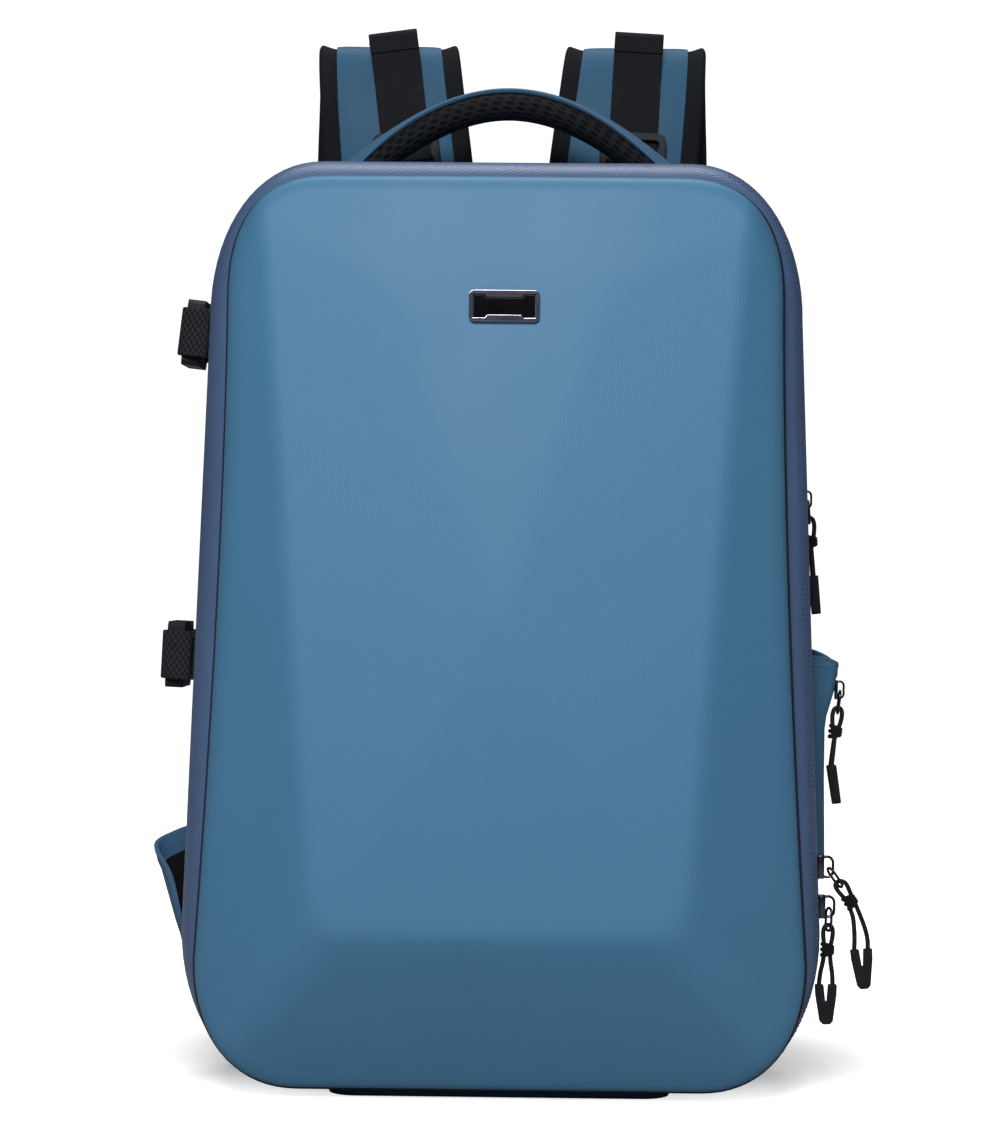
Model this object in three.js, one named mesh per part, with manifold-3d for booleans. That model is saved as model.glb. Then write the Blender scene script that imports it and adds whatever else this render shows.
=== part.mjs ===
// A hard-shell camera backpack that stands on its base, in millimetres.
// +Z is up, the moulded shell faces -Y, and the wearer's back is at +Y.
// The origin is on the floor, under the middle of the body.
import * as THREE from "three";
import Module from "manifold-3d";
import { mergeVertices } from "three/addons/utils/BufferGeometryUtils.js";

// Driving dimensions

// Outlines of the bag seen from the front, one row for each station along its depth.
// side: half width where the corner starts; round: size of the corner; power: how square it is;
// flare: how late the side widens on its way down.
const OUTLINES = {
  rim: {
    y: -45, sideTop: 138, sideBottom: 152, top: 459, bottom: 5.8, flare: 1.6,
    topRoundX: 53, topRoundZ: 64, topPower: 2.6, bottomRoundX: 52, bottomRoundZ: 63, bottomPower: 2.2,
  },
  belly: {
    y: -22, sideTop: 149.5, sideBottom: 161, top: 470, bottom: 3.6, flare: 1,
    topRoundX: 57, topRoundZ: 80, topPower: 2.1, bottomRoundX: 63, bottomRoundZ: 79, bottomPower: 2.1,
  },
  seam: {
    y: -4, sideTop: 148.5, sideBottom: 160, top: 469, bottom: 3.6, flare: 1,
    topRoundX: 57, topRoundZ: 78, topPower: 2.1, bottomRoundX: 63, bottomRoundZ: 79, bottomPower: 2.1,
  },
  back: {
    y: 66, sideTop: 145, sideBottom: 156, top: 468, bottom: 3.6, flare: 1,
    topRoundX: 55, topRoundZ: 70, topPower: 2.3, bottomRoundX: 60, bottomRoundZ: 74, bottomPower: 2.2,
  },
};
const OUTLINE_STEPS = { edge: 3, corner: 6, side: 6 };
const FIT = 0.35; // gap between pieces that are sewn or pressed together

// The front shell's flat facets: how far each stands in front of the rim at a place on it,
// and how that changes outwards from the middle line and upwards. The shell is the least of them.
const FACETS = {
  visor: { x: 0, z: 407, rise: 35.7, outward: 0, upward: -0.127 },
  wing: { x: 52, z: 407, rise: 35.7, outward: -0.076, upward: -0.127 },
  brow: { x: 0, z: 407, rise: 35.7, outward: 0, upward: -0.0893 },
  flank: { x: 52, z: 407, rise: 35.7, outward: -0.1, upward: -0.0572 },
  lower: { x: 0, z: 86, rise: 50.2, outward: 0, upward: 0 },
  side: { x: 91, z: 86, rise: 50.2, outward: -0.7, upward: -0.0084 },
  bottom: { x: 0, z: 86, rise: 50.2, outward: 0, upward: 0.55 },
};
// Corners of the raised front panel, where the facets meet, and the apex that they fall away from.
const PANEL = [
  { corner: "brow_left", x: -52, z: 407 },
  { corner: "brow_right", x: 52, z: 407 },
  { corner: "shoulder_right", x: 119, z: 430 },
  { corner: "hip_right", x: 91, z: 86 },
  { corner: "hip_left", x: -91, z: 86 },
  { corner: "shoulder_left", x: -119, z: 430 },
];
const APEX = { x: 0, z: 245 };
const SHELL_WALL = 3;
// The shell's side, from the rim towards the panel: it follows the facets up to the limit.
const SHELL_SIDE = [
  { name: "rim", inset: 0, limit: 0 },
  { name: "skirt", inset: 0.8, limit: 9 },
  { name: "bend", inset: 2.6, limit: 25 },
  { name: "shoulder", inset: 7, limit: 60 },
];

const PIPING = { radius: 2, proud: 0.5, sides: 5 };
const TAPE = { wall: 2, coilWidth: 3.4, coilProud: 0.8, coilDepth: 2.2 };
const WALL = { thickness: 5 };
const BASE = { halfWidth: 86, front: -36, rear: 78, thickness: 3.2, corner: 14 };
const BACK = { thickness: 14, edgeRound: 5 };

const BADGE = { width: 34.5, height: 15.6, thickness: 2.6, corner: 2.6, border: 1.9, tab: 1.5, z: 393 };
const HANDLE = {
  y: 22, foot: 88, rise: 520, lean: 20, start: 460, halfThick: 7.4, halfDeep: 11.5, cover: 1.5,
};

// Shoulder strap, a row for each place along its middle line, from the sewn top end to the free end.
const STRAP = { thickness: 11, steps: 20, hem: 2.5, cover: 1.5, edge: 9, cup: 3 };
const STRAP_WEBBING = { width: 26, thick: 1.6, gap: 1.2 };
const STRAP_ROWS = [
  { place: "sewn end", x: 57, y: 88.1, z: 422, width: 81 },
  { place: "bag top", x: 59.5, y: 88.4, z: 470, width: 80.5 },
  { place: "rise", x: 64, y: 91.5, z: 514, width: 78 },
  { place: "crest", x: 67, y: 103, z: 540, width: 76 },
  { place: "fall", x: 68, y: 116, z: 527, width: 75 },
  { place: "shoulder", x: 70, y: 124, z: 490, width: 74 },
  { place: "chest", x: 73, y: 130, z: 420, width: 72 },
  { place: "rib", x: 78, y: 131, z: 345, width: 70 },
  { place: "waist", x: 84, y: 127, z: 280, width: 65 },
  { place: "free end", x: 91, y: 120, z: 222, width: 56 },
];
const LADDER_LOCK = { width: 35, height: 26, thick: 4, bar: 4, slotWidth: 27.5, corner: 4 };

// Side pockets, a row for each height: how far the pocket stands out from the side wall there.
const POCKET = { wall: 2, front: 5, rear: 59 };
const TRIPOD_POCKET_ROWS = [
  { z: 62, out: 3 }, { z: 68, out: 11 }, { z: 82, out: 15.5 }, { z: 132, out: 31 },
];
const SIDE_POCKET_ROWS = [
  { z: 100, out: 2.5 }, { z: 118, out: 8 }, { z: 160, out: 8.8 }, { z: 188, out: 10 }, { z: 205, out: 15.5 },
  { z: 226, out: 18.4 },
];
// Places from a pocket's front edge to its rear one: the share of that distance, the share that it
// stands out there, and the mouth's height.
// The tripod pocket opens forwards: it stands out most near its rear, and its mouth rises to there.
const TRIPOD_POCKET_ROUND = [
  { along: 0, out: 0, mouth: 74 }, { along: 0.03, out: 0.25, mouth: 77 },
  { along: 0.15, out: 0.5, mouth: 86 }, { along: 0.4, out: 0.7, mouth: 104 },
  { along: 0.8, out: 1, mouth: 118 }, { along: 0.95, out: 0.62, mouth: 125 },
  { along: 1, out: 0, mouth: 131 },
];
const SIDE_POCKET_ROUND = [
  { along: 0, out: 0, mouth: 222.5 }, { along: 0.03, out: 0.6, mouth: 221.5 },
  { along: 0.14, out: 1, mouth: 218.5 }, { along: 0.5, out: 1.06, mouth: 217.5 },
  { along: 0.86, out: 1, mouth: 220.5 }, { along: 0.97, out: 0.6, mouth: 224 },
  { along: 1, out: 0, mouth: 226 },
];

// Tripod straps on the left side: each is a pair of webbing loops joined by a side-release buckle.
// seat: room under the sewn ends, for the tilt; lift: how much further the buckle hangs off the wall.
const TRIPOD_STRAPS = [
  { name: "upper", z: 384, tilt: 6.5, seat: 0.9, lift: 1.2 },
  { name: "lower", z: 218.5, tilt: 2.5, seat: 0, lift: 3 },
];
const BUCKLE = {
  width: 34, thick: 9, off: 9.6, front: 12.5, joint: 27, rear: 53.5,
  bar: 3.6, slot: 5, slotWidth: 27, arm: 5, armLength: 13,
};
const WEBBING = { width: 25, thick: 1.6 };
// Route of a tripod webbing loop: in is measured from the buckle's end, out from the side wall
// at the strap's middle. The first two rows are sewn to the wall and follow it.
const TRIPOD_LOOP = [
  { in: -11.5, out: 1.3 }, { in: -8.5, out: 1.5 }, { in: -5, out: 4.6 }, { in: -1.5, out: 7.4 },
  { in: 2.4, out: 7.9 }, { in: 4.6, out: 8.6 }, { in: 5.3, out: 11 }, { in: 5.3, out: 17.2 },
  { in: 4.8, out: 19.3 }, { in: 3, out: 20.1 }, { in: 0.5, out: 20.2 }, { in: -1.4, out: 19 },
  { in: -5.4, out: 13.4 }, { in: -8.6, out: 7.6 }, { in: -10.6, out: 5 },
];

// Zip pulls on the right side. The band has large sliders, and the side zip and the pocket small ones.
const SLIDER = { length: 12, width: 3, plate: 2.2, height: 7.4, wire: 1.5 };
const SMALL_SLIDER = { length: 10, width: 3, plate: 1.4, height: 5, wire: 1.2 };
const PULL_RING = { length: 13, width: 8, wire: 0.85 };
const CORD_RADIUS = 1.2;
const CORD_END = { width: 11, tip: 6.6, length: 20, thick: 4.6, notch: 2.4, notchFoot: 0.8, notchDepth: 8.6 };
// Routes of the pull cords, measured from the bridge: out is away from the bag.
const HANGING_ROUTE = [
  { out: -3.4, down: 38.6 }, { out: -2.9, down: 33 }, { out: -2, down: 28 }, { out: -1.5, down: 23.5 },
  { out: -1.5, down: 20 }, { out: -2.1, down: 16.5 }, { out: -2.4, down: 12.5 }, { out: -1.7, down: 9.9 },
  { out: 0, down: 9 }, { out: 1.7, down: 9.9 }, { out: 2.4, down: 12.5 }, { out: 2.1, down: 16.5 },
  { out: 1.5, down: 20 }, { out: 1.5, down: 23.5 }, { out: 2, down: 28 }, { out: 2.9, down: 33 },
  { out: 3.4, down: 38.6 },
];
const LEANING_ROUTE = [
  { out: 13.6, down: 40.6 }, { out: 13.7, down: 36 }, { out: 13.5, down: 31.4 }, { out: 12.8, down: 25.2 },
  { out: 11.2, down: 20.4 }, { out: 9.2, down: 16.7 }, { out: 7.4, down: 14.4 }, { out: 4.8, down: 11.3 },
  { out: 3.8, down: 8.7 }, { out: 5, down: 7.1 }, { out: 7.3, down: 6.9 }, { out: 9.2, down: 8.2 },
  { out: 11, down: 11.8 }, { out: 12.3, down: 14.9 }, { out: 14.2, down: 18.8 }, { out: 16.4, down: 24 },
  { out: 18.9, down: 30.6 }, { out: 20.2, down: 36 }, { out: 20.4, down: 40.6 },
];
// Between these drops a flat pull's cord twists by a quarter turn, so that its end lies along the bag's side.
const TWIST_DROPS = [17, 27];
// knot and end place the knot and the cord end on the same plane as the route.
const HANGING = { route: HANGING_ROUTE, knotOut: 0, knotDown: 21.5, knotLean: 0, endOut: 0, endDown: 39 };
const LEANING = { route: LEANING_ROUTE, knotOut: 11.4, knotDown: 17, knotLean: 33, endOut: 17, endDown: 41 };
const KNOT = { radius: 3, length: 4.2 };
// lean turns the ring outwards about the slider's bridge and roll turns it about its own length. swing turns
// the cord outwards, and endLean the cord end on it.
const PULLS = [
  {
    name: "side", on: "side_zip", y: 18, z: 302, size: SMALL_SLIDER,
    lean: 4.5, roll: 0, swing: 4.5, hang: HANGING, flat: true, endLean: 1,
  },
  {
    name: "pocket", on: "side_pocket", y: 18, z: 204, size: SMALL_SLIDER,
    lean: -6.4, roll: 0, swing: -6.4, hang: HANGING, flat: true, endLean: 15,
  },
  {
    name: "main_upper", on: "zip_coil", y: -22, z: 116, size: SLIDER,
    lean: 35, roll: 4, swing: 0, hang: LEANING, flat: false, endLean: 5,
  },
  {
    name: "main_lower", on: "zip_coil", y: -22, z: 96, size: SLIDER,
    lean: -2, roll: 18, swing: -2, hang: HANGING, flat: false, endLean: 3,
  },
];
const SIDE_ZIP = { y: 18, low: 267, high: 385, width: 6, thick: 1.8 };

// Materials
function finish(color, roughness, metalness = 0) {
  return new THREE.MeshStandardMaterial({ color, roughness, metalness });
}
const BLUE_LAMINATE = finish(0x5a86a8, 0.6);
const NAVY_TAPE = finish(0x3d5274, 0.55);
const DARK_NAVY = finish(0x1d2d42, 0.6);
const BLACK_MESH = finish(0x16181b, 0.85);
const BLACK_WEBBING = finish(0x1b1d20, 0.8);
const BLACK_PLASTIC = finish(0x15171b, 0.45);
const GUNMETAL = finish(0x55565e, 0.25, 1);
const GLOSS_BLACK = finish(0x08080a, 0.15);

// Building closed solids
const wasm = await Module();
wasm.setup();
const vec = (x, y, z) => new THREE.Vector3(x, y, z);
const mix = THREE.MathUtils.lerp;

// A closed geometry from shared vertices and triangles, turned so that its faces point out.
function solid(vertices, faces) {
  let volume = 0;
  for (let i = 0; i < faces.length; i += 3) {
    const [a, b, c] = [0, 1, 2].map((k) => vertices[faces[i + k]]);
    volume += a.dot(b.clone().cross(c));
  }
  if (volume < 0) faces.reverse();
  return new THREE.BufferGeometry().setFromPoints(vertices).setIndex(faces);
}

// Joins rings of points, each with the same count, into one closed skin.
// loop joins the last ring to the first; otherwise the ends are closed with a fan to a point,
// or with "ladder", which joins the first half of a ring to the second half.
// even splits the faces of a ring's second half as the mirror of its first half.
function skin(rings, { loop = false, ends = "fan", first = null, last = null, even = false } = {}) {
  const count = rings[0].length;
  const vertices = rings.flat();
  const faces = [];
  const at = (ring, i) => (ring % rings.length) * count + (i % count);
  const quad = (a, b, c, d, flip) => faces.push(...(flip ? [a, b, d, b, c, d] : [a, b, c, a, c, d]));
  for (let ring = 0; ring < rings.length - (loop ? 0 : 1); ring++) {
    for (let i = 0; i < count; i++) {
      quad(at(ring, i), at(ring, i + 1), at(ring + 1, i + 1), at(ring + 1, i), even && i < count / 2);
    }
  }
  const close = (ring, point, flip) => {
    const edge = rings[ring].map((_, i) => at(ring, flip ? i : count - 1 - i));
    if (ends === "ladder") {
      for (let i = 0; i < count / 2 - 1; i++) {
        quad(edge[i + 1], edge[i], edge[count - 1 - i], edge[count - 2 - i]);
      }
      return;
    }
    const middle = rings[ring].reduce((sum, p) => sum.add(p), vec(0, 0, 0)).divideScalar(count);
    vertices.push(point ?? middle);
    edge.forEach((a, i) => faces.push(edge[(i + 1) % count], a, vertices.length - 1));
  };
  if (!loop) {
    close(0, first, true);
    close(rings.length - 1, last, false);
  }
  return solid(vertices, faces);
}

function manifoldOf(geometry) {
  const bare = geometry.clone();
  bare.deleteAttribute("normal");
  bare.deleteAttribute("uv");
  const merged = mergeVertices(bare, 1e-4);
  const vertProperties = merged.attributes.position.array;
  const triVerts = new Uint32Array(merged.index.array);
  return new wasm.Manifold(new wasm.Mesh({ numProp: 3, vertProperties, triVerts }));
}

function geometryOf(manifold) {
  const made = manifold.getMesh();
  const geometry = new THREE.BufferGeometry();
  geometry.setAttribute("position", new THREE.BufferAttribute(made.vertProperties, 3));
  return geometry.setIndex(new THREE.BufferAttribute(made.triVerts, 1));
}

function piece(name, geometry, material) {
  const mesh = new THREE.Mesh(geometry, material);
  mesh.name = name;
  return mesh;
}

// Outlines of the body
function between(a, b, share) {
  return Object.fromEntries(Object.keys(a).map((key) => [key, mix(a[key], b[key], share)]));
}

function shrunk(row, inset) {
  const side = { sideTop: row.sideTop - inset, sideBottom: row.sideBottom - inset };
  const ends = { top: row.top - inset, bottom: row.bottom + inset };
  const tops = { topRoundX: row.topRoundX - inset, topRoundZ: row.topRoundZ - inset };
  const bottoms = { bottomRoundX: row.bottomRoundX - inset, bottomRoundZ: row.bottomRoundZ - inset };
  return { ...row, ...side, ...ends, ...tops, ...bottoms };
}

// The outline of one row as a ring of points at depth y, round from the top middle.
function outlineRing(row, y = row.y) {
  const { edge, corner, side } = OUTLINE_STEPS;
  const right = [];
  const topX = row.sideTop - row.topRoundX;
  const topZ = row.top - row.topRoundZ;
  const bottomX = row.sideBottom - row.bottomRoundX;
  const bottomZ = row.bottom + row.bottomRoundZ;
  const bend = (t, power) => [Math.sin(t) ** (2 / power), Math.cos(t) ** (2 / power)];
  for (let i = 0; i < edge; i++) right.push([(topX * i) / edge, row.top]);
  for (let i = 0; i < corner; i++) {
    const [s, c] = bend((Math.PI / 2) * (i / corner), row.topPower);
    right.push([topX + row.topRoundX * s, topZ + row.topRoundZ * c]);
  }
  for (let i = 0; i < side; i++) {
    const t = i / side;
    right.push([mix(row.sideTop, row.sideBottom, t ** row.flare), mix(topZ, bottomZ, t)]);
  }
  for (let i = 0; i < corner; i++) {
    const [s, c] = bend((Math.PI / 2) * (i / corner), row.bottomPower);
    right.push([bottomX + row.bottomRoundX * c, bottomZ - row.bottomRoundZ * s]);
  }
  for (let i = 0; i <= edge; i++) right.push([bottomX * (1 - i / edge), row.bottom]);
  const left = right.slice(1, -1).reverse().map(([x, z]) => [-x, z]);
  return [...right, ...left].map(([x, z]) => vec(x, y, z));
}

// Half width of the side wall's outer face at a depth and a height.
function sideX(y, z) {
  const { seam, back } = OUTLINES;
  return halfWidth(between(seam, back, (y - seam.y) / (back.y - seam.y)), z);
}

function halfWidth(row, z) {
  const topZ = row.top - row.topRoundZ;
  const bottomZ = row.bottom + row.bottomRoundZ;
  if (z < bottomZ) {
    const drop = (bottomZ - z) / row.bottomRoundZ;
    const reach = (1 - drop ** row.bottomPower) ** (1 / row.bottomPower);
    return row.sideBottom - row.bottomRoundX * (1 - reach);
  }
  if (z > topZ) {
    const climb = (z - topZ) / row.topRoundZ;
    return row.sideTop - row.topRoundX * (1 - (1 - climb ** row.topPower) ** (1 / row.topPower));
  }
  return mix(row.sideTop, row.sideBottom, ((topZ - z) / (topZ - bottomZ)) ** row.flare);
}

// A point that stands off the side wall: side is 1 on the right and -1 on the left.
function offWall(side, y, z, out) {
  return vec(side * (sideX(y, z) + out), y, z);
}

// Moulded front shell: a hollow tray with flat facets
const rimRow = OUTLINES.rim;

function shellRise(x, z) {
  const risen = (facet) =>
    facet.rise + facet.outward * (Math.abs(x) - facet.x) + facet.upward * (z - facet.z);
  return Math.min(...Object.values(FACETS).map(risen));
}

// Where a ray from the apex towards a rim point meets the edge of the front panel.
// The rays nearest the panel's corners go through the corners.
function panelRing(ring) {
  const angleOf = (x, z) => Math.atan2(z - APEX.z, x - APEX.x);
  const turn = (a, b) => Math.abs(Math.atan2(Math.sin(a - b), Math.cos(a - b)));
  const angles = ring.map((p) => angleOf(p.x, p.z));
  const hits = angles.map((angle) => {
    const [dx, dz] = [Math.cos(angle), Math.sin(angle)];
    for (let k = 0; k < PANEL.length; k++) {
      const [a, b] = [PANEL[k], PANEL[(k + 1) % PANEL.length]];
      const [ex, ez] = [b.x - a.x, b.z - a.z];
      const det = ex * dz - ez * dx;
      const share = (dx * (a.z - APEX.z) - dz * (a.x - APEX.x)) / det;
      const reach = (ex * (a.z - APEX.z) - ez * (a.x - APEX.x)) / det;
      if (share >= 0 && share <= 1 && reach > 0) return { x: APEX.x + reach * dx, z: APEX.z + reach * dz };
    }
    throw new Error("the front panel doesn't surround its apex");
  });
  for (const { x, z } of PANEL) {
    const away = angles.map((angle) => turn(angle, angleOf(x, z)));
    hits[away.indexOf(Math.min(...away))] = { x, z };
  }
  return hits;
}

function frontShell() {
  const sideRing = (wall) => ({ inset, limit }) =>
    outlineRing(shrunk(rimRow, inset + wall)).map((p) => {
      const rise = Math.min(limit, shellRise(p.x, p.z)) - wall;
      return p.setY(rimRow.y - Math.max(0, rise));
    });
  const onFacets = (wall) => ({ x, z }) => vec(x, rimRow.y - shellRise(x, z) + wall, z);
  const panel = panelRing(outlineRing(rimRow));
  const middle = panel.map(({ x, z }) => ({ x: mix(x, APEX.x, 0.5), z: mix(z, APEX.z, 0.5) }));
  const drawn = panel.map(({ x, z }) => ({ x: mix(x, APEX.x, 0.015), z: mix(z, APEX.z, 0.015) }));
  const rings = [
    middle.map(onFacets(0)), panel.map(onFacets(0)), ...SHELL_SIDE.map(sideRing(0)).reverse(),
    ...SHELL_SIDE.map(sideRing(SHELL_WALL)),
    drawn.map(onFacets(SHELL_WALL)), middle.map(onFacets(SHELL_WALL)),
  ];
  return skin(rings, { first: onFacets(0)(APEX), last: onFacets(SHELL_WALL)(APEX), even: true });
}

// A wall that runs right round the body: its outer rows front to back, then its inner rows.
function wallAround(rows, wall) {
  const outer = rows.map((row) => outlineRing(row));
  const inner = rows.map((row) => outlineRing(shrunk(row, wall))).reverse();
  return skin([...outer, ...inner], { loop: true });
}

function shellPiping() {
  const middle = rimRow.y + FIT + PIPING.radius;
  const rings = Array.from({ length: PIPING.sides }, (_, k) => {
    const turn = (2 * Math.PI * k) / PIPING.sides;
    const row = shrunk(rimRow, -PIPING.proud - PIPING.radius * Math.cos(turn));
    return outlineRing(row, middle + PIPING.radius * Math.sin(turn));
  });
  return skin(rings, { loop: true });
}

const coilFront = OUTLINES.belly.y - TAPE.coilWidth / 2;
const coilRear = OUTLINES.belly.y + TAPE.coilWidth / 2;
const tapeFront = rimRow.y + 2 * FIT + 2 * PIPING.radius;

// The tape swells from the piping out to the belly, then runs straight back to the seam.
function frontTape() {
  const rows = [0, 0.4, 0.75, 1].map((share) => {
    const swell = Math.sin((share * Math.PI) / 2);
    const row = between(shrunk(rimRow, 0.4), OUTLINES.belly, swell);
    return { ...row, y: mix(tapeFront, coilFront - FIT, share) };
  });
  return wallAround(rows, TAPE.wall);
}

function zipCoil() {
  const proud = { ...shrunk(OUTLINES.belly, -TAPE.coilProud), bottom: OUTLINES.belly.bottom };
  return wallAround([{ ...proud, y: coilFront }, { ...proud, y: coilRear }], TAPE.coilDepth);
}

function rearTape() {
  const rows = [
    { ...OUTLINES.belly, y: coilRear + FIT },
    { ...OUTLINES.seam, y: OUTLINES.seam.y - FIT },
  ];
  return wallAround(rows, TAPE.wall);
}

function bodyWall() {
  const { seam, back } = OUTLINES;
  return wallAround([seam, between(seam, back, 0.5), back], WALL.thickness);
}

function backPanel() {
  const { back } = OUTLINES;
  const face = back.y + FIT + BACK.thickness;
  const rings = [
    outlineRing(shrunk(back, 1), back.y + FIT),
    outlineRing(back, face - BACK.edgeRound),
    outlineRing(shrunk(back, BACK.edgeRound), face),
  ];
  return skin(rings, { first: vec(0, back.y + FIT, APEX.z), last: vec(0, face, APEX.z) });
}

// A rectangle with round corners, as a closed shape round (x, y).
function roundedRectangle(width, height, corner, x = 0, y = 0) {
  const [w, h] = [width / 2, height / 2];
  const shape = new THREE.Shape();
  shape.moveTo(x - w + corner, y - h);
  shape.lineTo(x + w - corner, y - h);
  shape.absarc(x + w - corner, y - h + corner, corner, -Math.PI / 2, 0);
  shape.lineTo(x + w, y + h - corner);
  shape.absarc(x + w - corner, y + h - corner, corner, 0, Math.PI / 2);
  shape.lineTo(x - w + corner, y + h);
  shape.absarc(x - w + corner, y + h - corner, corner, Math.PI / 2, Math.PI);
  shape.lineTo(x - w, y - h + corner);
  shape.absarc(x - w + corner, y - h + corner, corner, Math.PI, 1.5 * Math.PI);
  return shape;
}

function extruded(shape, depth, curveSegments = 3) {
  return new THREE.ExtrudeGeometry(shape, { depth, bevelEnabled: false, curveSegments });
}

function basePanel() {
  const depth = BASE.rear - BASE.front;
  const shape = roundedRectangle(2 * BASE.halfWidth, depth, BASE.corner, 0, (BASE.front + BASE.rear) / 2);
  return extruded(shape, BASE.thickness);
}

// Name plate on the brow: a metal frame round a bare black plate
function badge() {
  const { width, height, thickness, corner, border, tab } = BADGE;
  const [w, h] = [width / 2 - border, height / 2 - border];
  const window = new THREE.Path();
  const step = [
    [-w, -h], [-0.62 * w, -h], [-0.55 * w, tab - h], [0.55 * w, tab - h], [0.62 * w, -h], [w, -h],
  ];
  const outline = [...step, ...step.map(([x, y]) => [-x, -y])];
  window.setFromPoints(outline.map(([x, y]) => new THREE.Vector2(x, y)));
  const frameShape = roundedRectangle(width, height, corner);
  frameShape.holes.push(window);
  // The plate draws in from the window all round, so its notches widen by the same gap.
  const drawn = (x) => x + Math.sign(x) * (Math.abs(x) < w ? FIT : -FIT);
  const inset = outline.map(([x, y]) => new THREE.Vector2(drawn(x), y - Math.sign(y) * FIT));
  const group = new THREE.Group();
  group.add(piece("badge_frame", extruded(frameShape, thickness), GUNMETAL));
  group.add(piece("badge_plate", extruded(new THREE.Shape(inset), thickness - 1), GLOSS_BLACK));
  // It lies on the brow facet, square to it.
  group.position.set(0, rimRow.y - shellRise(0, BADGE.z) - FIT, BADGE.z);
  group.rotation.x = Math.PI / 2 + Math.atan(FACETS.brow.upward);
  return group;
}

// Carrying handle: a padded arch over the top, with a fabric cover along its upper side
function handlePath() {
  const { y, foot, rise, lean, start } = HANDLE;
  const bends = [vec(-foot, y, start), vec(-lean, y, rise), vec(lean, y, rise), vec(foot, y, start)];
  return new THREE.CubicBezierCurve3(...bends);
}

// Rings round the handle's path: the section gives (across, up) offsets in the plane square to the path.
function handleRings(section, steps = 13) {
  const path = handlePath();
  return Array.from({ length: steps + 1 }, (_, k) => {
    const middle = path.getPoint(k / steps);
    const along = path.getTangent(k / steps);
    const up = vec(-along.z, 0, along.x);
    return section.map(([deep, high]) => middle.clone().add(vec(0, deep, 0)).addScaledVector(up, high));
  });
}

function cutAbove(geometry, z) {
  const block = new THREE.BoxGeometry(400, 200, 100).translate(0, HANDLE.y, z - 50);
  return geometryOf(manifoldOf(geometry).subtract(manifoldOf(block)));
}

function handle() {
  const floor = OUTLINES.seam.top + FIT;
  const oval = (grow, from, to, count) =>
    Array.from({ length: count }, (_, k) => {
      const turn = mix(from, to, k / (count - 1));
      return [(HANDLE.halfDeep + grow) * Math.cos(turn), (HANDLE.halfThick + grow) * Math.sin(turn)];
    });
  const round = oval(0, 0, 2 * Math.PI, 13).slice(0, -1);
  const [from, to] = [THREE.MathUtils.degToRad(-25), THREE.MathUtils.degToRad(128)];
  const strip = [
    ...oval(FIT + HANDLE.cover, from, to, 6),
    ...oval(FIT, from, to, 6).reverse(),
  ];
  const group = new THREE.Group();
  group.add(piece("handle_grip", cutAbove(skin(handleRings(round)), floor), BLACK_MESH));
  const cover = skin(handleRings(strip), { ends: "ladder" });
  group.add(piece("handle_cover", cutAbove(cover, floor), BLUE_LAMINATE));
  return group;
}

// Webbing: a flat ribbon swept along points, with its width along a fixed direction
function ribbon(points, across, width, thick) {
  const rings = points.map((p, i) => {
    const before = points[Math.max(0, i - 1)];
    const after = points[Math.min(points.length - 1, i + 1)];
    const along = after.clone().sub(before).normalize();
    const side = across.clone().addScaledVector(along, -across.dot(along)).normalize();
    const face = along.clone().cross(side);
    side.multiplyScalar(width / 2);
    face.multiplyScalar(thick / 2);
    const corner = (a, b) => p.clone().addScaledVector(side, a).addScaledVector(face, b);
    return [corner(-1, -1), corner(1, -1), corner(1, 1), corner(-1, 1)];
  });
  return skin(rings);
}

// Shoulder straps: a mesh-covered pad, with a fabric cover on its outer face
const strapLine = new THREE.CatmullRomCurve3(STRAP_ROWS.map(({ x, y, z }) => vec(x, y, z)));

function strapWidth(share) {
  const place = share * (STRAP_ROWS.length - 1);
  const row = Math.min(Math.floor(place), STRAP_ROWS.length - 2);
  return mix(STRAP_ROWS[row].width, STRAP_ROWS[row + 1].width, place - row);
}

// The strap's frame at a share of its length: out points away from the wearer.
function strapFrame(share) {
  const along = strapLine.getTangent(share);
  const out = vec(0, -along.z, along.y).normalize();
  return { middle: strapLine.getPoint(share), out, side: along.clone().cross(out).normalize() };
}

// The strap is cupped: above the bag, its edges curl away from the wearer.
function strapRings(section, from = 0, to = 1) {
  const bagTop = STRAP_ROWS.findIndex(({ place }) => place === "bag top") / (STRAP_ROWS.length - 1);
  const rise = STRAP_ROWS.findIndex(({ place }) => place === "rise") / (STRAP_ROWS.length - 1);
  return Array.from({ length: STRAP.steps + 1 }, (_, k) => {
    const share = mix(from, to, k / STRAP.steps);
    const { middle, out, side } = strapFrame(share);
    const width = strapWidth(share);
    const cup = STRAP.cup * THREE.MathUtils.smoothstep(share, bagTop, rise);
    return section(width).map(([a, b]) => {
      const curl = cup * Math.abs((2 * a) / width) ** 5;
      return middle.clone().addScaledVector(side, a).addScaledVector(out, b + curl);
    });
  });
}

function mirrored(geometry) {
  const copy = geometry.clone().scale(-1, 1, 1);
  const order = Array.from(copy.index.array).reverse();
  return copy.setIndex(order);
}

function ladderLock() {
  const { width, height, thick, bar, slotWidth, corner } = LADDER_LOCK;
  const shape = roundedRectangle(width, height, corner);
  const slot = (height - 3 * bar) / 2;
  for (const side of [-1, 1]) {
    shape.holes.push(roundedRectangle(slotWidth, slot, 1.5, 0, (side * (slot + bar)) / 2));
  }
  return extruded(shape, thick, 1).translate(0, 0, -thick / 2);
}

// Webbing round a ladder lock, given as (up, front) points beside the lock's middle.
function lockWebbing(points) {
  const route = points.map(([up, front]) => vec(0, up, front));
  return ribbon(route, vec(1, 0, 0), STRAP_WEBBING.width, STRAP_WEBBING.thick);
}

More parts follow.
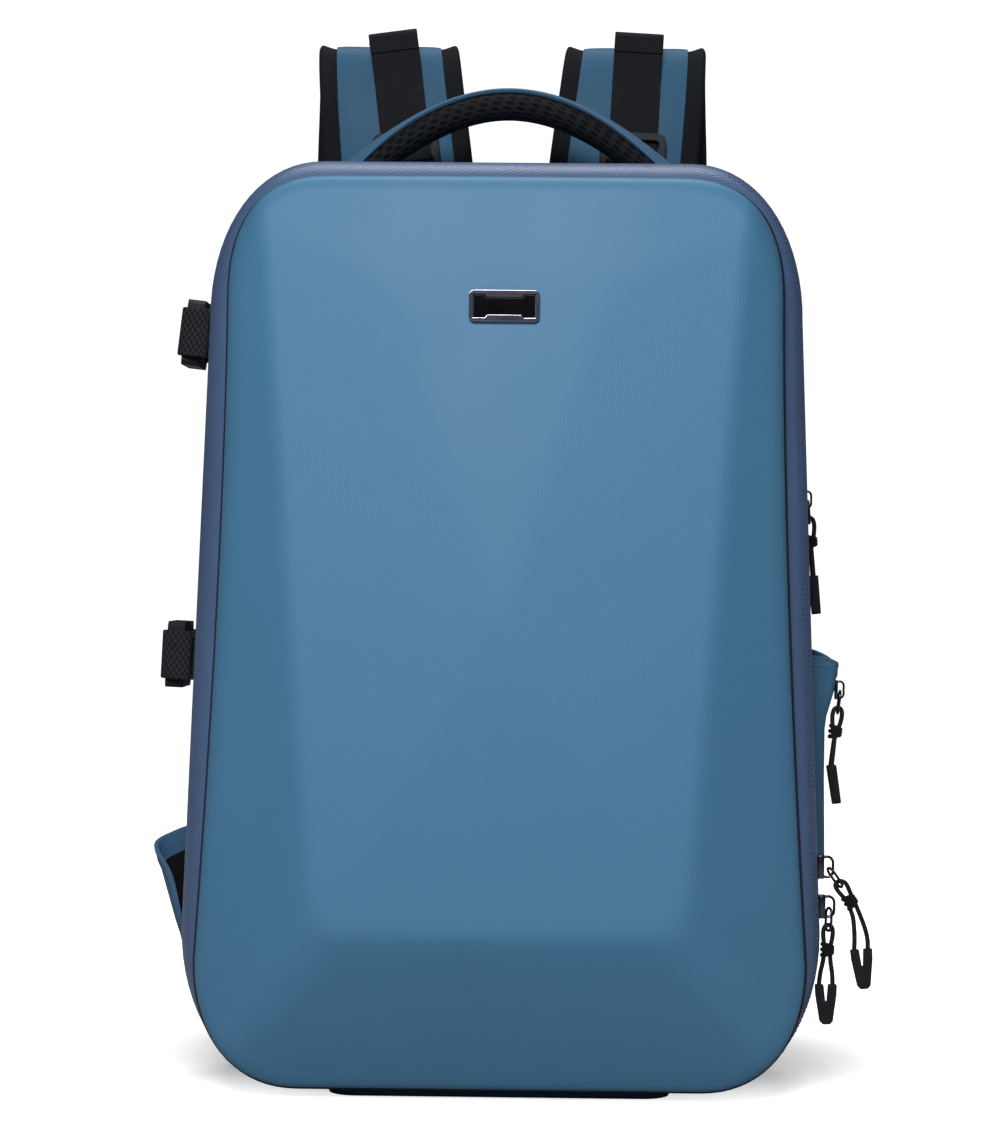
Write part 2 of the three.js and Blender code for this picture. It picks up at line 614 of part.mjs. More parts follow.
// From the bag's rear edge up behind the lock's lower bar, over it, and down in front.
const ANCHOR_LOOP = [
  [-17.4, -3.4], [-9.8, -3.4], [-8.1, -2.9], [-7.6, -1.2],
  [-7.6, 1.2], [-8.1, 2.9], [-9.8, 3.4], [-15.6, 3.4],
];
// The tail in front of the middle bar, then through the upper slot and up behind the top bar.
const LIFTER_TAIL = [[-3.4, 3.4], [1.2, 3.4], [3.2, 2.6], [7.8, -2.6], [10, -3.4], [14, -3.4]];

// Load lifters: the ladder lock's and the webbing's place across the strap, beside the bag's middle line.
const LIFTER = { y: 76.4, z: 486, tab: 552.6, height: 68 };
const LIFTERS = {
  left: { side: -1, lockX: 55.5, crestX: 64.3 },
  right: { side: 1, lockX: 65, crestX: 68.5 },
};

function shoulderStrap(hand) {
  const { side, lockX, crestX } = LIFTERS[hand];
  const half = STRAP.thickness / 2;
  const face = (w, b) => [-w, -w / 3, w / 3, w].map((a) => [a, b]);
  const pad = (width) => {
    const [w, hem, seam] = [width / 2, width / 2 - STRAP.hem, width / 2 - STRAP.edge];
    const rightEdge = [[w, -0.3 * half], [w, 0.3 * half], [hem, half]];
    const leftEdge = [[-hem, half], [-w, 0.3 * half], [-w, -0.3 * half]];
    return [...face(hem, -half), ...rightEdge, ...face(seam, half).reverse(), ...leftEdge];
  };
  const cover = (width) => {
    const seam = width / 2 - STRAP.edge;
    return [...face(seam, half + FIT), ...face(seam, half + FIT + STRAP.cover).reverse()];
  };
  const flip = (geometry) => (side > 0 ? geometry : mirrored(geometry));
  const group = new THREE.Group();
  group.add(piece(`strap_pad_${hand}`, flip(skin(strapRings(pad))), BLACK_MESH));
  const ladder = { ends: "ladder" };
  group.add(piece(`strap_cover_${hand}`, flip(skin(strapRings(cover, 0.005, 0.985), ladder)), BLUE_LAMINATE));

  // Load lifter: webbing from the crest down to a ladder lock on the bag's top rear edge.
  const lean = Math.atan2(crestX - lockX, LIFTER.height);
  const lifter = new THREE.Group();
  lifter.position.set(side * lockX, LIFTER.y, LIFTER.z);
  lifter.rotation.set(Math.PI / 2, 0, -side * lean);
  lifter.add(piece(`lifter_buckle_${hand}`, ladderLock(), BLACK_PLASTIC));
  lifter.add(piece(`lifter_anchor_${hand}`, lockWebbing(ANCHOR_LOOP), BLACK_WEBBING));
  group.add(lifter);
  const rest = half + FIT + STRAP.cover + STRAP_WEBBING.gap + STRAP_WEBBING.thick / 2;
  const onStrap = (share) => {
    const { middle, out } = strapFrame(share);
    const place = middle.addScaledVector(out, rest);
    return place.setX(lockX + (place.z - LIFTER.z) * Math.tan(lean));
  };
  const rightLock = new THREE.Matrix4().makeRotationFromEuler(new THREE.Euler(Math.PI / 2, 0, -lean));
  rightLock.setPosition(lockX, LIFTER.y, LIFTER.z);
  const start = LIFTER_TAIL.map(([up, front]) => vec(0, up, front).applyMatrix4(rightLock));
  const onFace = [0.2, 0.235, 0.262].map(onStrap);
  const peak = vec(crestX, onFace[2].y + 2.2, LIFTER.tab);
  const fold = peak.clone().add(vec(0, 2.4, -1.2));
  const end = peak.clone().add(vec(0, 4.6, -5.4));
  const wide = vec(1, 0, 0).transformDirection(rightLock);
  const { width, thick } = STRAP_WEBBING;
  const webbing = ribbon([...start, ...onFace, peak, fold, end], wide, width, thick);
  group.add(piece(`lifter_webbing_${hand}`, flip(webbing), BLACK_WEBBING));

  group.add(...adjuster(side, hand));
  return group;
}

// Adjuster: a ladder lock at the strap's free end, and webbing down to a tab at the bag's lower corner
const ADJUSTER = { tip: Math.PI / 2 + 0.2, drop: 14.5, tabZ: 44, tabX: 122, tabThick: 3 };
// Where the adjuster webbing falls from the lock, and where it is sewn to the tab.
const ADJUSTER_FALL = [{ x: 105, y: 106, z: 130 }, { x: 113, y: 96, z: 88 }];
const ADJUSTER_SEAT = [{ x: 119, off: 2.6, z: 58 }, { x: 121.5, off: 1.5, z: 38 }];
// From the tail outside the middle bar, through the lower slot, and down inside the lower bar.
const ADJUSTER_TAIL = [[3.4, -3.4], [-1.2, -3.4], [-3.2, -2.6], [-7.8, 2.6], [-10, 3.4], [-15, 3.4]];

function adjuster(side, hand) {
  const { middle } = strapFrame(1);
  const face = OUTLINES.back.y + FIT + BACK.thickness;
  const flip = (geometry) => (side > 0 ? geometry : mirrored(geometry));
  const bottomX = ADJUSTER.tabX;
  const lean = Math.atan2(bottomX - middle.x, middle.z - ADJUSTER.tabZ);
  const fall = new THREE.Group();
  fall.position.set(side * middle.x, middle.y, middle.z);
  fall.rotation.set(ADJUSTER.tip, 0, side * lean * 0.6);
  const lock = ladderLock().translate(0, -ADJUSTER.drop, 0);
  fall.add(piece(`adjuster_buckle_${hand}`, lock, BLACK_PLASTIC));
  const rightFall = new THREE.Matrix4().makeRotationFromEuler(new THREE.Euler(ADJUSTER.tip, 0, lean * 0.6));
  rightFall.setPosition(middle);
  const tail = ADJUSTER_TAIL.map(([up, front]) => vec(0, up - ADJUSTER.drop, front).applyMatrix4(rightFall));
  const fallen = ADJUSTER_FALL.map(({ x, y, z }) => vec(x, y, z));
  const seated = ADJUSTER_SEAT.map(({ x, off, z }) => vec(x, face + ADJUSTER.tabThick + off, z));
  const points = [...tail, ...fallen, ...seated];
  const across = vec(1, 0, 0).transformDirection(rightFall);
  const webbing = ribbon(points, across, STRAP_WEBBING.width, STRAP_WEBBING.thick);
  const corners = [[-22, 30], [14, 30], [20, -14], [-14, -24]];
  const tab = new THREE.Shape(corners.map(([x, y]) => new THREE.Vector2(x, y)));
  const tabSolid = extruded(tab, ADJUSTER.tabThick).rotateX(Math.PI / 2);
  tabSolid.translate(bottomX - 4, face + FIT + ADJUSTER.tabThick, ADJUSTER.tabZ + 6);
  const flipTab = (geometry) => (side > 0 ? geometry : mirrored(mergeVertices(bareOf(geometry))));
  return [
    fall,
    piece(`adjuster_webbing_${hand}`, flip(webbing), BLACK_WEBBING),
    piece(`base_tab_${hand}`, flipTab(tabSolid), BLUE_LAMINATE),
  ];
}

function bareOf(geometry) {
  const bare = geometry.clone();
  bare.deleteAttribute("normal");
  bare.deleteAttribute("uv");
  return bare;
}

// Side pockets: a panel that stands off the side wall at its mouth and closes onto it at the bottom
function pocketStand(rows, z) {
  const above = Math.max(1, rows.findIndex((row) => row.z >= z - 1e-9));
  const [low, high] = [rows[above - 1], rows[above]];
  return mix(low.out, high.out, (z - low.z) / (high.z - low.z));
}

function pocket(side, rows, round) {
  const { wall, front, rear } = POCKET;
  const [floor, top] = [rows[0].z, rows[rows.length - 1].z];
  const column = ({ along, out, mouth }) => {
    const share = (mouth - floor) / (top - floor);
    const place = (inset) => rows.map((row) => {
      const y = mix(front + inset, rear - inset, along);
      const z = mix(floor, row.z, share);
      const stand = pocketStand(rows, z);
      return offWall(side, y, z, FIT + Math.max(0.05 * out, stand * out - inset));
    });
    return [...place(0), ...place(wall).reverse()];
  };
  return skin(round.map(column), { ends: "ladder" });
}

// Tripod straps on the left side
function tripodStrap({ name, z, tilt, seat, lift }) {
  const { width, thick, off, front, joint, rear, bar, slot, slotWidth, arm, armLength } = BUCKLE;
  const half = width / 2;
  const group = new THREE.Group();
  const outline = (points) => new THREE.Shape(points.map(([a, b]) => new THREE.Vector2(a, b)));
  const tip = joint + armLength;
  const prongs = outline([
    [front, -half + 2], [front + 2, -half], [tip, -half], [tip + 1.5, -half + arm - 1], [tip, -half + arm],
    [joint, -half + arm], [joint, half - arm], [tip, half - arm], [tip + 1.5, half - arm + 1], [tip, half],
    [front + 2, half], [front, half - 2],
  ]);
  prongs.holes.push(roundedRectangle(slot, slotWidth, 1, front + bar + slot / 2, 0));
  const waist = half - arm - FIT;
  const socket = outline([
    [joint + FIT, -waist], [tip + 1.5 + FIT, -waist], [tip + 3, -half], [rear - 2, -half], [rear, -half + 2],
    [rear, half - 2], [rear - 2, half], [tip + 3, half], [tip + 1.5 + FIT, waist], [joint + FIT, waist],
  ]);
  socket.holes.push(roundedRectangle(slot, slotWidth, 1, rear - bar - slot / 2, 0));
  // The shapes lie in (depth, height); their thickness runs out from the wall.
  const middle = sideX((front + rear) / 2, z);
  group.position.set(-middle, 0, z);
  group.rotation.y = THREE.MathUtils.degToRad(tilt);
  const upright = (geometry) =>
    geometry.rotateX(Math.PI / 2).rotateZ(Math.PI / 2).translate(-off - lift - thick, 0, 0);
  group.add(piece(`buckle_prongs_${name}`, upright(extruded(prongs, thick, 2)), BLACK_PLASTIC));
  group.add(piece(`buckle_socket_${name}`, upright(extruded(socket, thick, 2)), BLACK_PLASTIC));
  // Each loop leaves the wall, goes under the buckle's bar, up through its slot and back over the bar.
  const loop = (edge, inward) => TRIPOD_LOOP.map((row, k) => {
    const y = edge + inward * row.in;
    const more = k < 2 ? sideX(y, z) - middle + seat : Math.min(1, (k - 1) / 2) * lift;
    return vec(-row.out - more, y, 0);
  });
  const webbing = (points) => ribbon(points, vec(0, 0, 1), WEBBING.width, WEBBING.thick);
  group.add(piece(`tripod_webbing_front_${name}`, webbing(loop(front, 1)), BLACK_WEBBING));
  group.add(piece(`tripod_webbing_rear_${name}`, webbing(loop(rear, -1)), BLACK_WEBBING));
  return group;
}

// Zip sliders and their pulls on the right side
function slider({ length, width, plate, height, wire }) {
  const [l, inside] = [length / 2, height - wire];
  const low = { plate: [[0, -l], [plate, -l], [inside, 1 - l], [height, 3 - l]] };
  low.hole = [[plate + 0.2, 1.8 - l], [inside - 0.5, 2.4 - l], [inside, 3.6 - l]];
  const bothEnds = (points) => [...points, ...points.map(([a, b]) => [a, -b]).reverse()];
  const outline = (points) => bothEnds(points).map(([a, b]) => new THREE.Vector2(a, b));
  const shape = new THREE.Shape(outline(low.plate));
  shape.holes.push(new THREE.Path(outline(low.hole)));
  return extruded(shape, width).rotateX(Math.PI / 2).translate(0, width / 2, 0);
}

// An oblong wire ring in the plane of depth and drop, hung from the top.
function pullRing() {
  const { length, width, wire } = PULL_RING;
  const [turnRadius, straight, corners] = [width / 2 - wire, length - width, 4];
  const centres = [];
  for (const end of [0, 1]) {
    for (let k = 0; k <= corners; k++) {
      const turn = Math.PI * (end + k / corners);
      const middle = -wire / 2 - turnRadius - end * straight;
      centres.push({ y: turnRadius * Math.cos(turn), z: middle + turnRadius * Math.sin(turn), turn });
    }
  }
  const rings = centres.map(({ y, z, turn }) =>
    Array.from({ length: 5 }, (_, k) => {
      const around = (2 * Math.PI * k) / 5;
      const reach = wire * Math.cos(around);
      return vec(wire * Math.sin(around), y + reach * Math.cos(turn), z + reach * Math.sin(turn));
    }));
  return skin(rings, { loop: true });
}

function pullCord({ route, knotOut, knotDown, knotLean }, flat) {
  const path = new THREE.CatmullRomCurve3(route.map(({ out, down }) => {
    const turn = flat ? (Math.PI / 2) * THREE.MathUtils.smoothstep(down, ...TWIST_DROPS) : 0;
    return vec(out * Math.cos(turn), out * Math.sin(turn), -down);
  }));
  const sides = 8;
  const round = Array.from({ length: sides }, (_, k) => {
    const turn = (2 * Math.PI * k) / sides;
    return new THREE.Vector2(CORD_RADIUS * Math.cos(turn), CORD_RADIUS * Math.sin(turn));
  });
  const along = { steps: 13, extrudePath: path, bevelEnabled: false };
  const tube = new THREE.ExtrudeGeometry(new THREE.Shape(round), along);
  const knot = new THREE.SphereGeometry(KNOT.radius, 8, 5).scale(1, KNOT.length / KNOT.radius, 0.8);
  knot.rotateX(Math.PI / 2).rotateY(-THREE.MathUtils.degToRad(knotLean)).translate(knotOut, 0, -knotDown);
  return geometryOf(manifoldOf(tube).add(manifoldOf(knot)));
}

function cordEnd({ endOut, endDown }, flat, endLean) {
  const { width, tip, length, thick, notch, notchFoot, notchDepth } = CORD_END;
  const right = [
    [notchFoot / 2, -notchDepth], [notch / 2, 0], [width / 2, 0], [width / 2 - 0.2, -5],
    [tip / 2, 1.5 - length], [tip / 2 - 1.5, -length],
  ];
  const left = right.map(([x, z]) => [-x, z]).reverse();
  const shape = new THREE.Shape([...right, ...left].map(([x, z]) => new THREE.Vector2(x, z)));
  const end = extruded(shape, thick).rotateX(Math.PI / 2).translate(0, thick / 2, 0);
  if (flat) end.rotateZ(Math.PI / 2);
  return end.rotateY(-THREE.MathUtils.degToRad(endLean)).translate(endOut, 0, -endDown);
}

// How far out the face lies that a slider runs on.
function sliderFace(on, y, z) {
  if (on === "zip_coil") return halfWidth(OUTLINES.belly, z) + TAPE.coilProud;
  if (on === "side_zip") return sideX(y, z) + FIT + 0.15 + SIDE_ZIP.thick;
  return sideX(y, z) + FIT + pocketStand(SIDE_POCKET_ROWS, z) * 1.06;
}

function zipPull({ name, on, y, z, size, lean, roll, swing, hang, flat, endLean }) {
  const opening = (size.plate + 0.2 + size.height - size.wire) / 2;
  const held = new THREE.Group();
  held.position.set(sliderFace(on, y, z) + FIT + opening, y, z);
  const seat = piece(`zip_slider_${name}`, slider(size), GUNMETAL);
  seat.position.set(-opening, 0, 0.3);
  const ring = piece(`pull_ring_${name}`, pullRing().rotateZ(THREE.MathUtils.degToRad(roll)), GUNMETAL);
  ring.rotation.y = -THREE.MathUtils.degToRad(lean);
  const hung = new THREE.Group();
  hung.rotation.y = -THREE.MathUtils.degToRad(swing);
  hung.add(piece(`pull_cord_${name}`, pullCord(hang, flat), BLACK_WEBBING));
  hung.add(piece(`cord_end_${name}`, cordEnd(hang, flat, endLean), BLACK_PLASTIC));
  held.add(seat, ring, hung);
  return held;
}

function sideZip() {
  const steps = 8;
  const points = Array.from({ length: steps + 1 }, (_, k) =>
    offWall(1, SIDE_ZIP.y, mix(SIDE_ZIP.low, SIDE_ZIP.high, k / steps), FIT + 0.15 + SIDE_ZIP.thick / 2));
  return ribbon(points, vec(0, 1, 0), SIDE_ZIP.width, SIDE_ZIP.thick);
}

// The backpack
const backpack = new THREE.Group();
const body = new THREE.Group();
body.add(
  piece("front_shell", frontShell(), BLUE_LAMINATE),
  piece("shell_piping", shellPiping(), DARK_NAVY),
  piece("zip_tape_front", frontTape(), NAVY_TAPE),
  piece("zip_coil", zipCoil(), NAVY_TAPE),
  piece("zip_tape_rear", rearTape(), NAVY_TAPE),
  piece("body_wall", bodyWall(), BLUE_LAMINATE),
  piece("base_panel", basePanel(), DARK_NAVY),
  piece("back_panel", backPanel(), BLACK_MESH),
);
const sides = new THREE.Group();
sides.add(
  piece("tripod_pocket", pocket(-1, TRIPOD_POCKET_ROWS, TRIPOD_POCKET_ROUND), BLUE_LAMINATE),
  piece("side_pocket", pocket(1, SIDE_POCKET_ROWS, SIDE_POCKET_ROUND), BLUE_LAMINATE),
  piece("side_zip", sideZip(), BLACK_WEBBING),
  ...TRIPOD_STRAPS.map(tripodStrap),
  ...PULLS.map(zipPull),
);
backpack.add(body, badge(), handle(), shoulderStrap("left"), shoulderStrap("right"), sides);

export default backpack;
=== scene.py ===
import math
import bmesh
import bpy
import numpy as np
from mathutils import Matrix, Vector


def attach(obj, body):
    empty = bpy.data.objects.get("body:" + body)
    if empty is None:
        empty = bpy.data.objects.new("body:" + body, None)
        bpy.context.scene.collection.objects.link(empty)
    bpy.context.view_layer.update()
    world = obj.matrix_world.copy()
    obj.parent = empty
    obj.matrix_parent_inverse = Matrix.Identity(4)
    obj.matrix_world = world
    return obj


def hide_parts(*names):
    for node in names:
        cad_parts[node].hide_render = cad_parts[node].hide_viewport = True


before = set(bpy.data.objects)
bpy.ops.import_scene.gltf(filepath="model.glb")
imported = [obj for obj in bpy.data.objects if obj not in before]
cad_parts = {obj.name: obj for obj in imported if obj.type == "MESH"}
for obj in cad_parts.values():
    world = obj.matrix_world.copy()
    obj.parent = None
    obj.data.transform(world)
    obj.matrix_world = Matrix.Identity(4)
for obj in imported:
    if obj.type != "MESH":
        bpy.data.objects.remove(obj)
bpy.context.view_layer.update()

# The view
# A camera level with the middle of the bag, a soft light in front of it, a weaker one above and two faint
# ones behind that leave no glint, on a sweep of white paper that curves up at the back.
bpy.context.scene.view_settings.view_transform = "Standard"
VIEW_DISTANCE, VIEW_HEIGHT, VIEW_SIDE, VIEW_LENS = 1.7, 0.266, -0.0023, 105.4
VIEW_TURN, VIEW_ROLL = math.radians(1), math.radians(0.55)
bpy.ops.object.select_all(action="DESELECT")
bpy.ops.object.camera_add()
camera = bpy.context.object
camera.data.lens = VIEW_LENS
view_x = VIEW_SIDE + VIEW_DISTANCE * math.sin(VIEW_TURN)
view_y = -VIEW_DISTANCE * math.cos(VIEW_TURN)
level = Matrix.Rotation(VIEW_TURN, 4, "Z") @ Matrix.Rotation(math.pi / 2, 4, "X")
view_place = Matrix.Translation((view_x, view_y, VIEW_HEIGHT))
camera.matrix_world = view_place @ level @ Matrix.Rotation(VIEW_ROLL, 4, "Z")
bpy.context.scene.camera = camera
# Each light's place, where it points, its width, height and power in watts, and whether it leaves a glint.
LIGHTS = {
    "key_light": ((-0.12, -1.62, 1.13), (0, 0, 0.3), 0.54, 0.42, 27, True),
    "top_light": ((0, 0.35, 1.6), (0, 0, 0.4), 0.9, 0.25, 9, True),
    "back_left_light": ((-1.0, 1.5, 0.55), (0, 0.1, 0.25), 1.0, 1.0, 10, False),
    "back_right_light": ((1.0, 1.5, 0.55), (0, 0.1, 0.25), 1.0, 1.0, 10, False),
}
ROOM_STRENGTH = 0.28
for name, (place, towards, width, height, power, glint) in LIGHTS.items():
    bpy.ops.object.light_add(type="AREA", location=place)
    light = bpy.context.object
    light.name = name
    light.data.shape = "RECTANGLE"
    light.data.size, light.data.size_y, light.data.energy = width, height, power
    light.rotation_euler = (Vector(towards) - Vector(place)).to_track_quat("-Z", "Y").to_euler()
    light.visible_glossy = glint
world = bpy.data.worlds.new("studio")
world.use_nodes = True
backdrop = world.node_tree.nodes["Background"]
backdrop.inputs["Color"].default_value = (1, 1, 1, 1)
backdrop.inputs["Strength"].default_value = ROOM_STRENGTH
bpy.context.scene.world = world

SWEEP_WIDTH, SWEEP_HEIGHT, SWEEP_CURVE = 9, 4, 1.5
bpy.ops.object.select_all(action="DESELECT")
bpy.ops.mesh.primitive_plane_add(size=SWEEP_WIDTH)
floor = bpy.context.object
floor.name = "paper_sweep"
bpy.ops.object.mode_set(mode="EDIT")
sweep = bmesh.from_edit_mesh(floor.data)
for edge in sweep.edges:
    edge.select_set(all(v.co.y > 1 for v in edge.verts))
bmesh.update_edit_mesh(floor.data)
bpy.ops.mesh.extrude_region_move(TRANSFORM_OT_translate={"value": (0, 0, SWEEP_HEIGHT)})
sweep = bmesh.from_edit_mesh(floor.data)
for edge in sweep.edges:
    edge.select_set(all(v.co.y > 1 and v.co.z < 0.1 for v in edge.verts))
bmesh.update_edit_mesh(floor.data)
bpy.ops.mesh.bevel(offset=SWEEP_CURVE, segments=16, affect="EDGES")
bpy.ops.object.mode_set(mode="OBJECT")
bpy.ops.object.shade_smooth()


def new_material(name):
    """A new material, with its nodes, its shader and its texture places."""
    made = bpy.data.materials.new(name)
    made.use_nodes = True
    tree = made.node_tree
    return made, tree, tree.nodes["Principled BSDF"], tree.nodes.new("ShaderNodeTexCoord")


def feed(tree, socket, value):
    """Links a socket to another one, or sets it to a plain value."""
    if isinstance(value, bpy.types.NodeSocket):
        tree.links.new(value, socket)
    else:
        socket.default_value = value


def give(tree, shader, looks):
    """Gives a shader's named inputs their links or plain values."""
    for name, value in looks.items():
        feed(tree, shader.inputs[name], value)


def maths(tree, operation, *values):
    """One operation on sockets or plain values."""
    node = tree.nodes.new("ShaderNodeMath")
    node.operation = operation
    for socket, value in zip(node.inputs, values):
        feed(tree, socket, value)
    return node.outputs[0]


def mixed(tree, amount, low, high):
    """A colour between two, by an amount from 0 to 1."""
    node = tree.nodes.new("ShaderNodeMix")
    node.data_type = "RGBA"
    for socket, value in ((node.inputs["Factor"], amount), (node.inputs[6], low), (node.inputs[7], high)):
        feed(tree, socket, value)
    return node.outputs[2]


def ranged(tree, amount, low, high, start=0, stop=1):
    """An amount between start and stop, brought to between low and high."""
    node = tree.nodes.new("ShaderNodeMapRange")
    for socket, value in zip(node.inputs, (amount, start, stop, low, high)):
        feed(tree, socket, value)
    return node.outputs[0]


def mapped(tree, place, **changes):
    """A place that a Mapping node moves, turns or stretches."""
    node = tree.nodes.new("ShaderNodeMapping")
    feed(tree, node.inputs["Vector"], place)
    for socket, value in changes.items():
        node.inputs[socket].default_value = value
    return node.outputs[0]


paper, tree, shader, places = new_material("white_paper")
# The paper glows for the camera alone, a painted light that makes it pure white away from the bag. Close
# round it the glow is faint, so its shadow shows. It is greyer in the light that it throws back at the bag.
# Where the painted glow is centred and how it is stretched, where it starts and ends, and how faint it is
# near the bag.
SHADOW_PLACE, SHADOW_SHAPE, SHADOW_START, SHADOW_END = (0, -0.19, 0), (1, 1.6, 1), 0.14, 0.29
NEAR_PAINTED_GLOW, PAPER_GREY, PAPER_WHITE = 0.1, (0.5, 0.5, 0.5, 1), (0.8, 0.8, 0.8, 1)
reach = tree.nodes.new("ShaderNodeVectorMath")
reach.operation = "LENGTH"
round_bag = mapped(tree, places.outputs["Object"], Location=SHADOW_PLACE, Scale=SHADOW_SHAPE)
tree.links.new(round_bag, reach.inputs[0])
painted_glow = ranged(tree, reach.outputs["Value"], NEAR_PAINTED_GLOW, 1.0, SHADOW_START, SHADOW_END)
seen = tree.nodes.new("ShaderNodeLightPath").outputs["Is Camera Ray"]
give(tree, shader, {
    "Base Color": mixed(tree, seen, PAPER_GREY, PAPER_WHITE), "Roughness": 0.9, "Specular IOR Level": 0,
    "Emission Color": (1, 1, 1, 1), "Emission Strength": maths(tree, "MULTIPLY", seen, painted_glow)})
floor.data.materials.append(paper)

# Moulded front shell
# A hard tray of pressed foam with a thin blue fabric laminated over it. Its front is a set of flat
# facets with soft creases, and its rim is sewn to the zip band behind it.
RIM = dict(
    y=-0.045, side_top=0.138, side_bottom=0.152, top=0.459, bottom=0.0058, flare=1.6,
    top_x=0.053, top_z=0.064, top_power=2.6, bottom_x=0.052, bottom_z=0.063, bottom_power=2.2,
)


def outline_ring(row, y=None, edge=10, corner=18, side=24):
    """The bag's outline seen from the front as a ring of points, round from the top middle."""
    top_x, top_z = row["side_top"] - row["top_x"], row["top"] - row["top_z"]
    low_x, low_z = row["side_bottom"] - row["bottom_x"], row["bottom"] + row["bottom_z"]
    half = [(top_x * i / edge, row["top"]) for i in range(edge)]
    for i in range(corner):
        turn = math.pi / 2 * i / corner
        x = top_x + row["top_x"] * math.sin(turn) ** (2 / row["top_power"])
        half.append((x, top_z + row["top_z"] * math.cos(turn) ** (2 / row["top_power"])))
    for i in range(side):
        down = i / side
        x = row["side_top"] + (row["side_bottom"] - row["side_top"]) * down ** row["flare"]
        half.append((x, top_z + (low_z - top_z) * down))
    for i in range(corner):
        turn = math.pi / 2 * i / corner
        x = low_x + row["bottom_x"] * math.cos(turn) ** (2 / row["bottom_power"])
        half.append((x, low_z - row["bottom_z"] * math.sin(turn) ** (2 / row["bottom_power"])))
    half += [(low_x * (1 - i / edge), row["bottom"]) for i in range(edge + 1)]
    points = half + [(-x, z) for x, z in reversed(half[1:-1])]
    depth = row["y"] if y is None else y
    return np.array([(x, depth, z) for x, z in points])


INSET_SIZES = ("side_top", "side_bottom", "top", "top_x", "top_z", "bottom_x", "bottom_z")


def shrunk(row, inset):
    """An outline that lies inside another one by an inset all round."""
    less = {key: row[key] - inset for key in INSET_SIZES}
    return {**row, **less, "bottom": row["bottom"] + inset}


def soft_least(a, b, soft):
    """The smaller of two heights, with the crease between them rounded."""
    near = np.maximum(soft - np.abs(a - b), 0) / soft
    return np.minimum(a, b) - near * near * soft / 4


# Each facet: a place on it, how far it stands in front of the rim there, and how that changes outwards and
# upwards.
FACETS = {
    "visor": (0, 0.407, 0.0357, 0, -0.127),
    "wing": (0.052, 0.407, 0.0357, -0.076, -0.127),
    "brow": (0, 0.407, 0.0357, 0, -0.0893),
    "flank": (0.052, 0.407, 0.0357, -0.1, -0.0572),
    "lower": (0, 0.086, 0.0502, 0, 0),
    "side": (0.091, 0.086, 0.0502, -0.7, -0.0084),
    "bottom": (0, 0.086, 0.0502, 0, 0.55),
}
# How far each crease between facets is rounded.
BROW_CREASE, WING_CREASE, FRONT_CREASE, CORNER_CREASE, EDGE_CREASE = 0.0006, 0.0022, 0.0005, 0.014, 0.0026


def shell_rise(x, z):
    """How far the shell stands in front of its rim: the least of its facets, with rounded creases."""
    rise = {}
    for name, (at_x, at_z, height, outward, upward) in FACETS.items():
        rise[name] = height + outward * (np.abs(x) - at_x) + upward * (z - at_z)
    over = soft_least(rise["brow"], rise["flank"], BROW_CREASE)
    visor = soft_least(rise["visor"], rise["wing"], WING_CREASE)
    front = soft_least(soft_least(over, visor, FRONT_CREASE), rise["lower"], FRONT_CREASE)
    around = soft_least(rise["side"], rise["bottom"], CORNER_CREASE)
    return soft_least(front, around, EDGE_CREASE)


def fix(piece, material, slot, *nodes):
    """Dresses a piece, and fixes it to the bag in place of its plain solids."""
    piece.data.materials.clear()
    piece.data.materials.append(material)
    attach(piece, "root")
    if nodes:
        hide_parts(*nodes)


def add_modifier(piece, kind, **settings):
    """Adds a modifier to a piece and applies it."""
    bpy.context.view_layer.objects.active = piece
    modifier = piece.modifiers.new(kind.lower(), kind)
    for key, value in settings.items():
        setattr(modifier, key, value)
    bpy.ops.object.modifier_apply(modifier=modifier.name)


SHOULDER, SHELL_WALL, SHELL_MIDDLE, SHELL_SHARP = 0.009, 0.003, Vector((0, 0, 0.24)), math.radians(50)
shoulder_ring = outline_ring(shrunk(RIM, SHOULDER), 0, 12, 24, 36)
bpy.ops.object.select_all(action="DESELECT")
bpy.ops.mesh.primitive_circle_add(vertices=len(shoulder_ring))
shell = bpy.context.object
shell.name = "moulded_shell"
bpy.ops.object.mode_set(mode="EDIT")
mesh = bmesh.from_edit_mesh(shell.data)
for v, point in zip(mesh.verts, shoulder_ring):
    v.co = point
bmesh.update_edit_mesh(shell.data)
bpy.ops.mesh.fill_grid(span=len(shoulder_ring) // 4, offset=0)
bpy.ops.mesh.select_all(action="SELECT")
bpy.ops.mesh.subdivide(number_cuts=1)
mesh = bmesh.from_edit_mesh(shell.data)
for v in mesh.verts:
    v.co.y = RIM["y"] - float(shell_rise(v.co.x, v.co.z))
rim_edges = [e for e in mesh.edges if e.is_boundary]
bpy.ops.mesh.select_all(action="DESELECT")
for e in rim_edges:
    e.select_set(True)
bmesh.update_edit_mesh(shell.data)
# The edge rolls over from the facets to the rim: how far out, and the share of the height that is left.
ROLL = [
    (0.0072, 0.992), (0.0054, 0.972), (0.0036, 0.94), (0.0022, 0.89),
    (0.0012, 0.8), (0.0006, 0.66), (0.0002, 0.4), (0, 0),
]
left = SHOULDER
for inset, share in ROLL:
    bpy.ops.mesh.extrude_region_move()
    mesh = bmesh.from_edit_mesh(shell.data)
    moved = {}
    for v in mesh.verts:
        if v.select:
            ends = [e.other_vert(v).co for e in v.link_edges if e.select]
            along = ends[1] - ends[0]
            out = Vector((along.z, 0, -along.x)).normalized()
            if out.dot(v.co - SHELL_MIDDLE) < 0:
                out.negate()
            place = v.co + out * (left - inset)
            place.y = RIM["y"] - max(0, float(shell_rise(place.x, place.z))) * share
            moved[v] = place
    for v, place in moved.items():
        v.co = place
    bmesh.update_edit_mesh(shell.data)
    left = inset
bpy.ops.mesh.select_all(action="SELECT")
bpy.ops.mesh.normals_make_consistent(inside=False)
bpy.ops.object.mode_set(mode="OBJECT")
if sum(p.normal.y * p.area for p in shell.data.polygons) > 0:
    shell.data.flip_normals()
add_modifier(shell, "SOLIDIFY", thickness=SHELL_WALL, offset=-1)
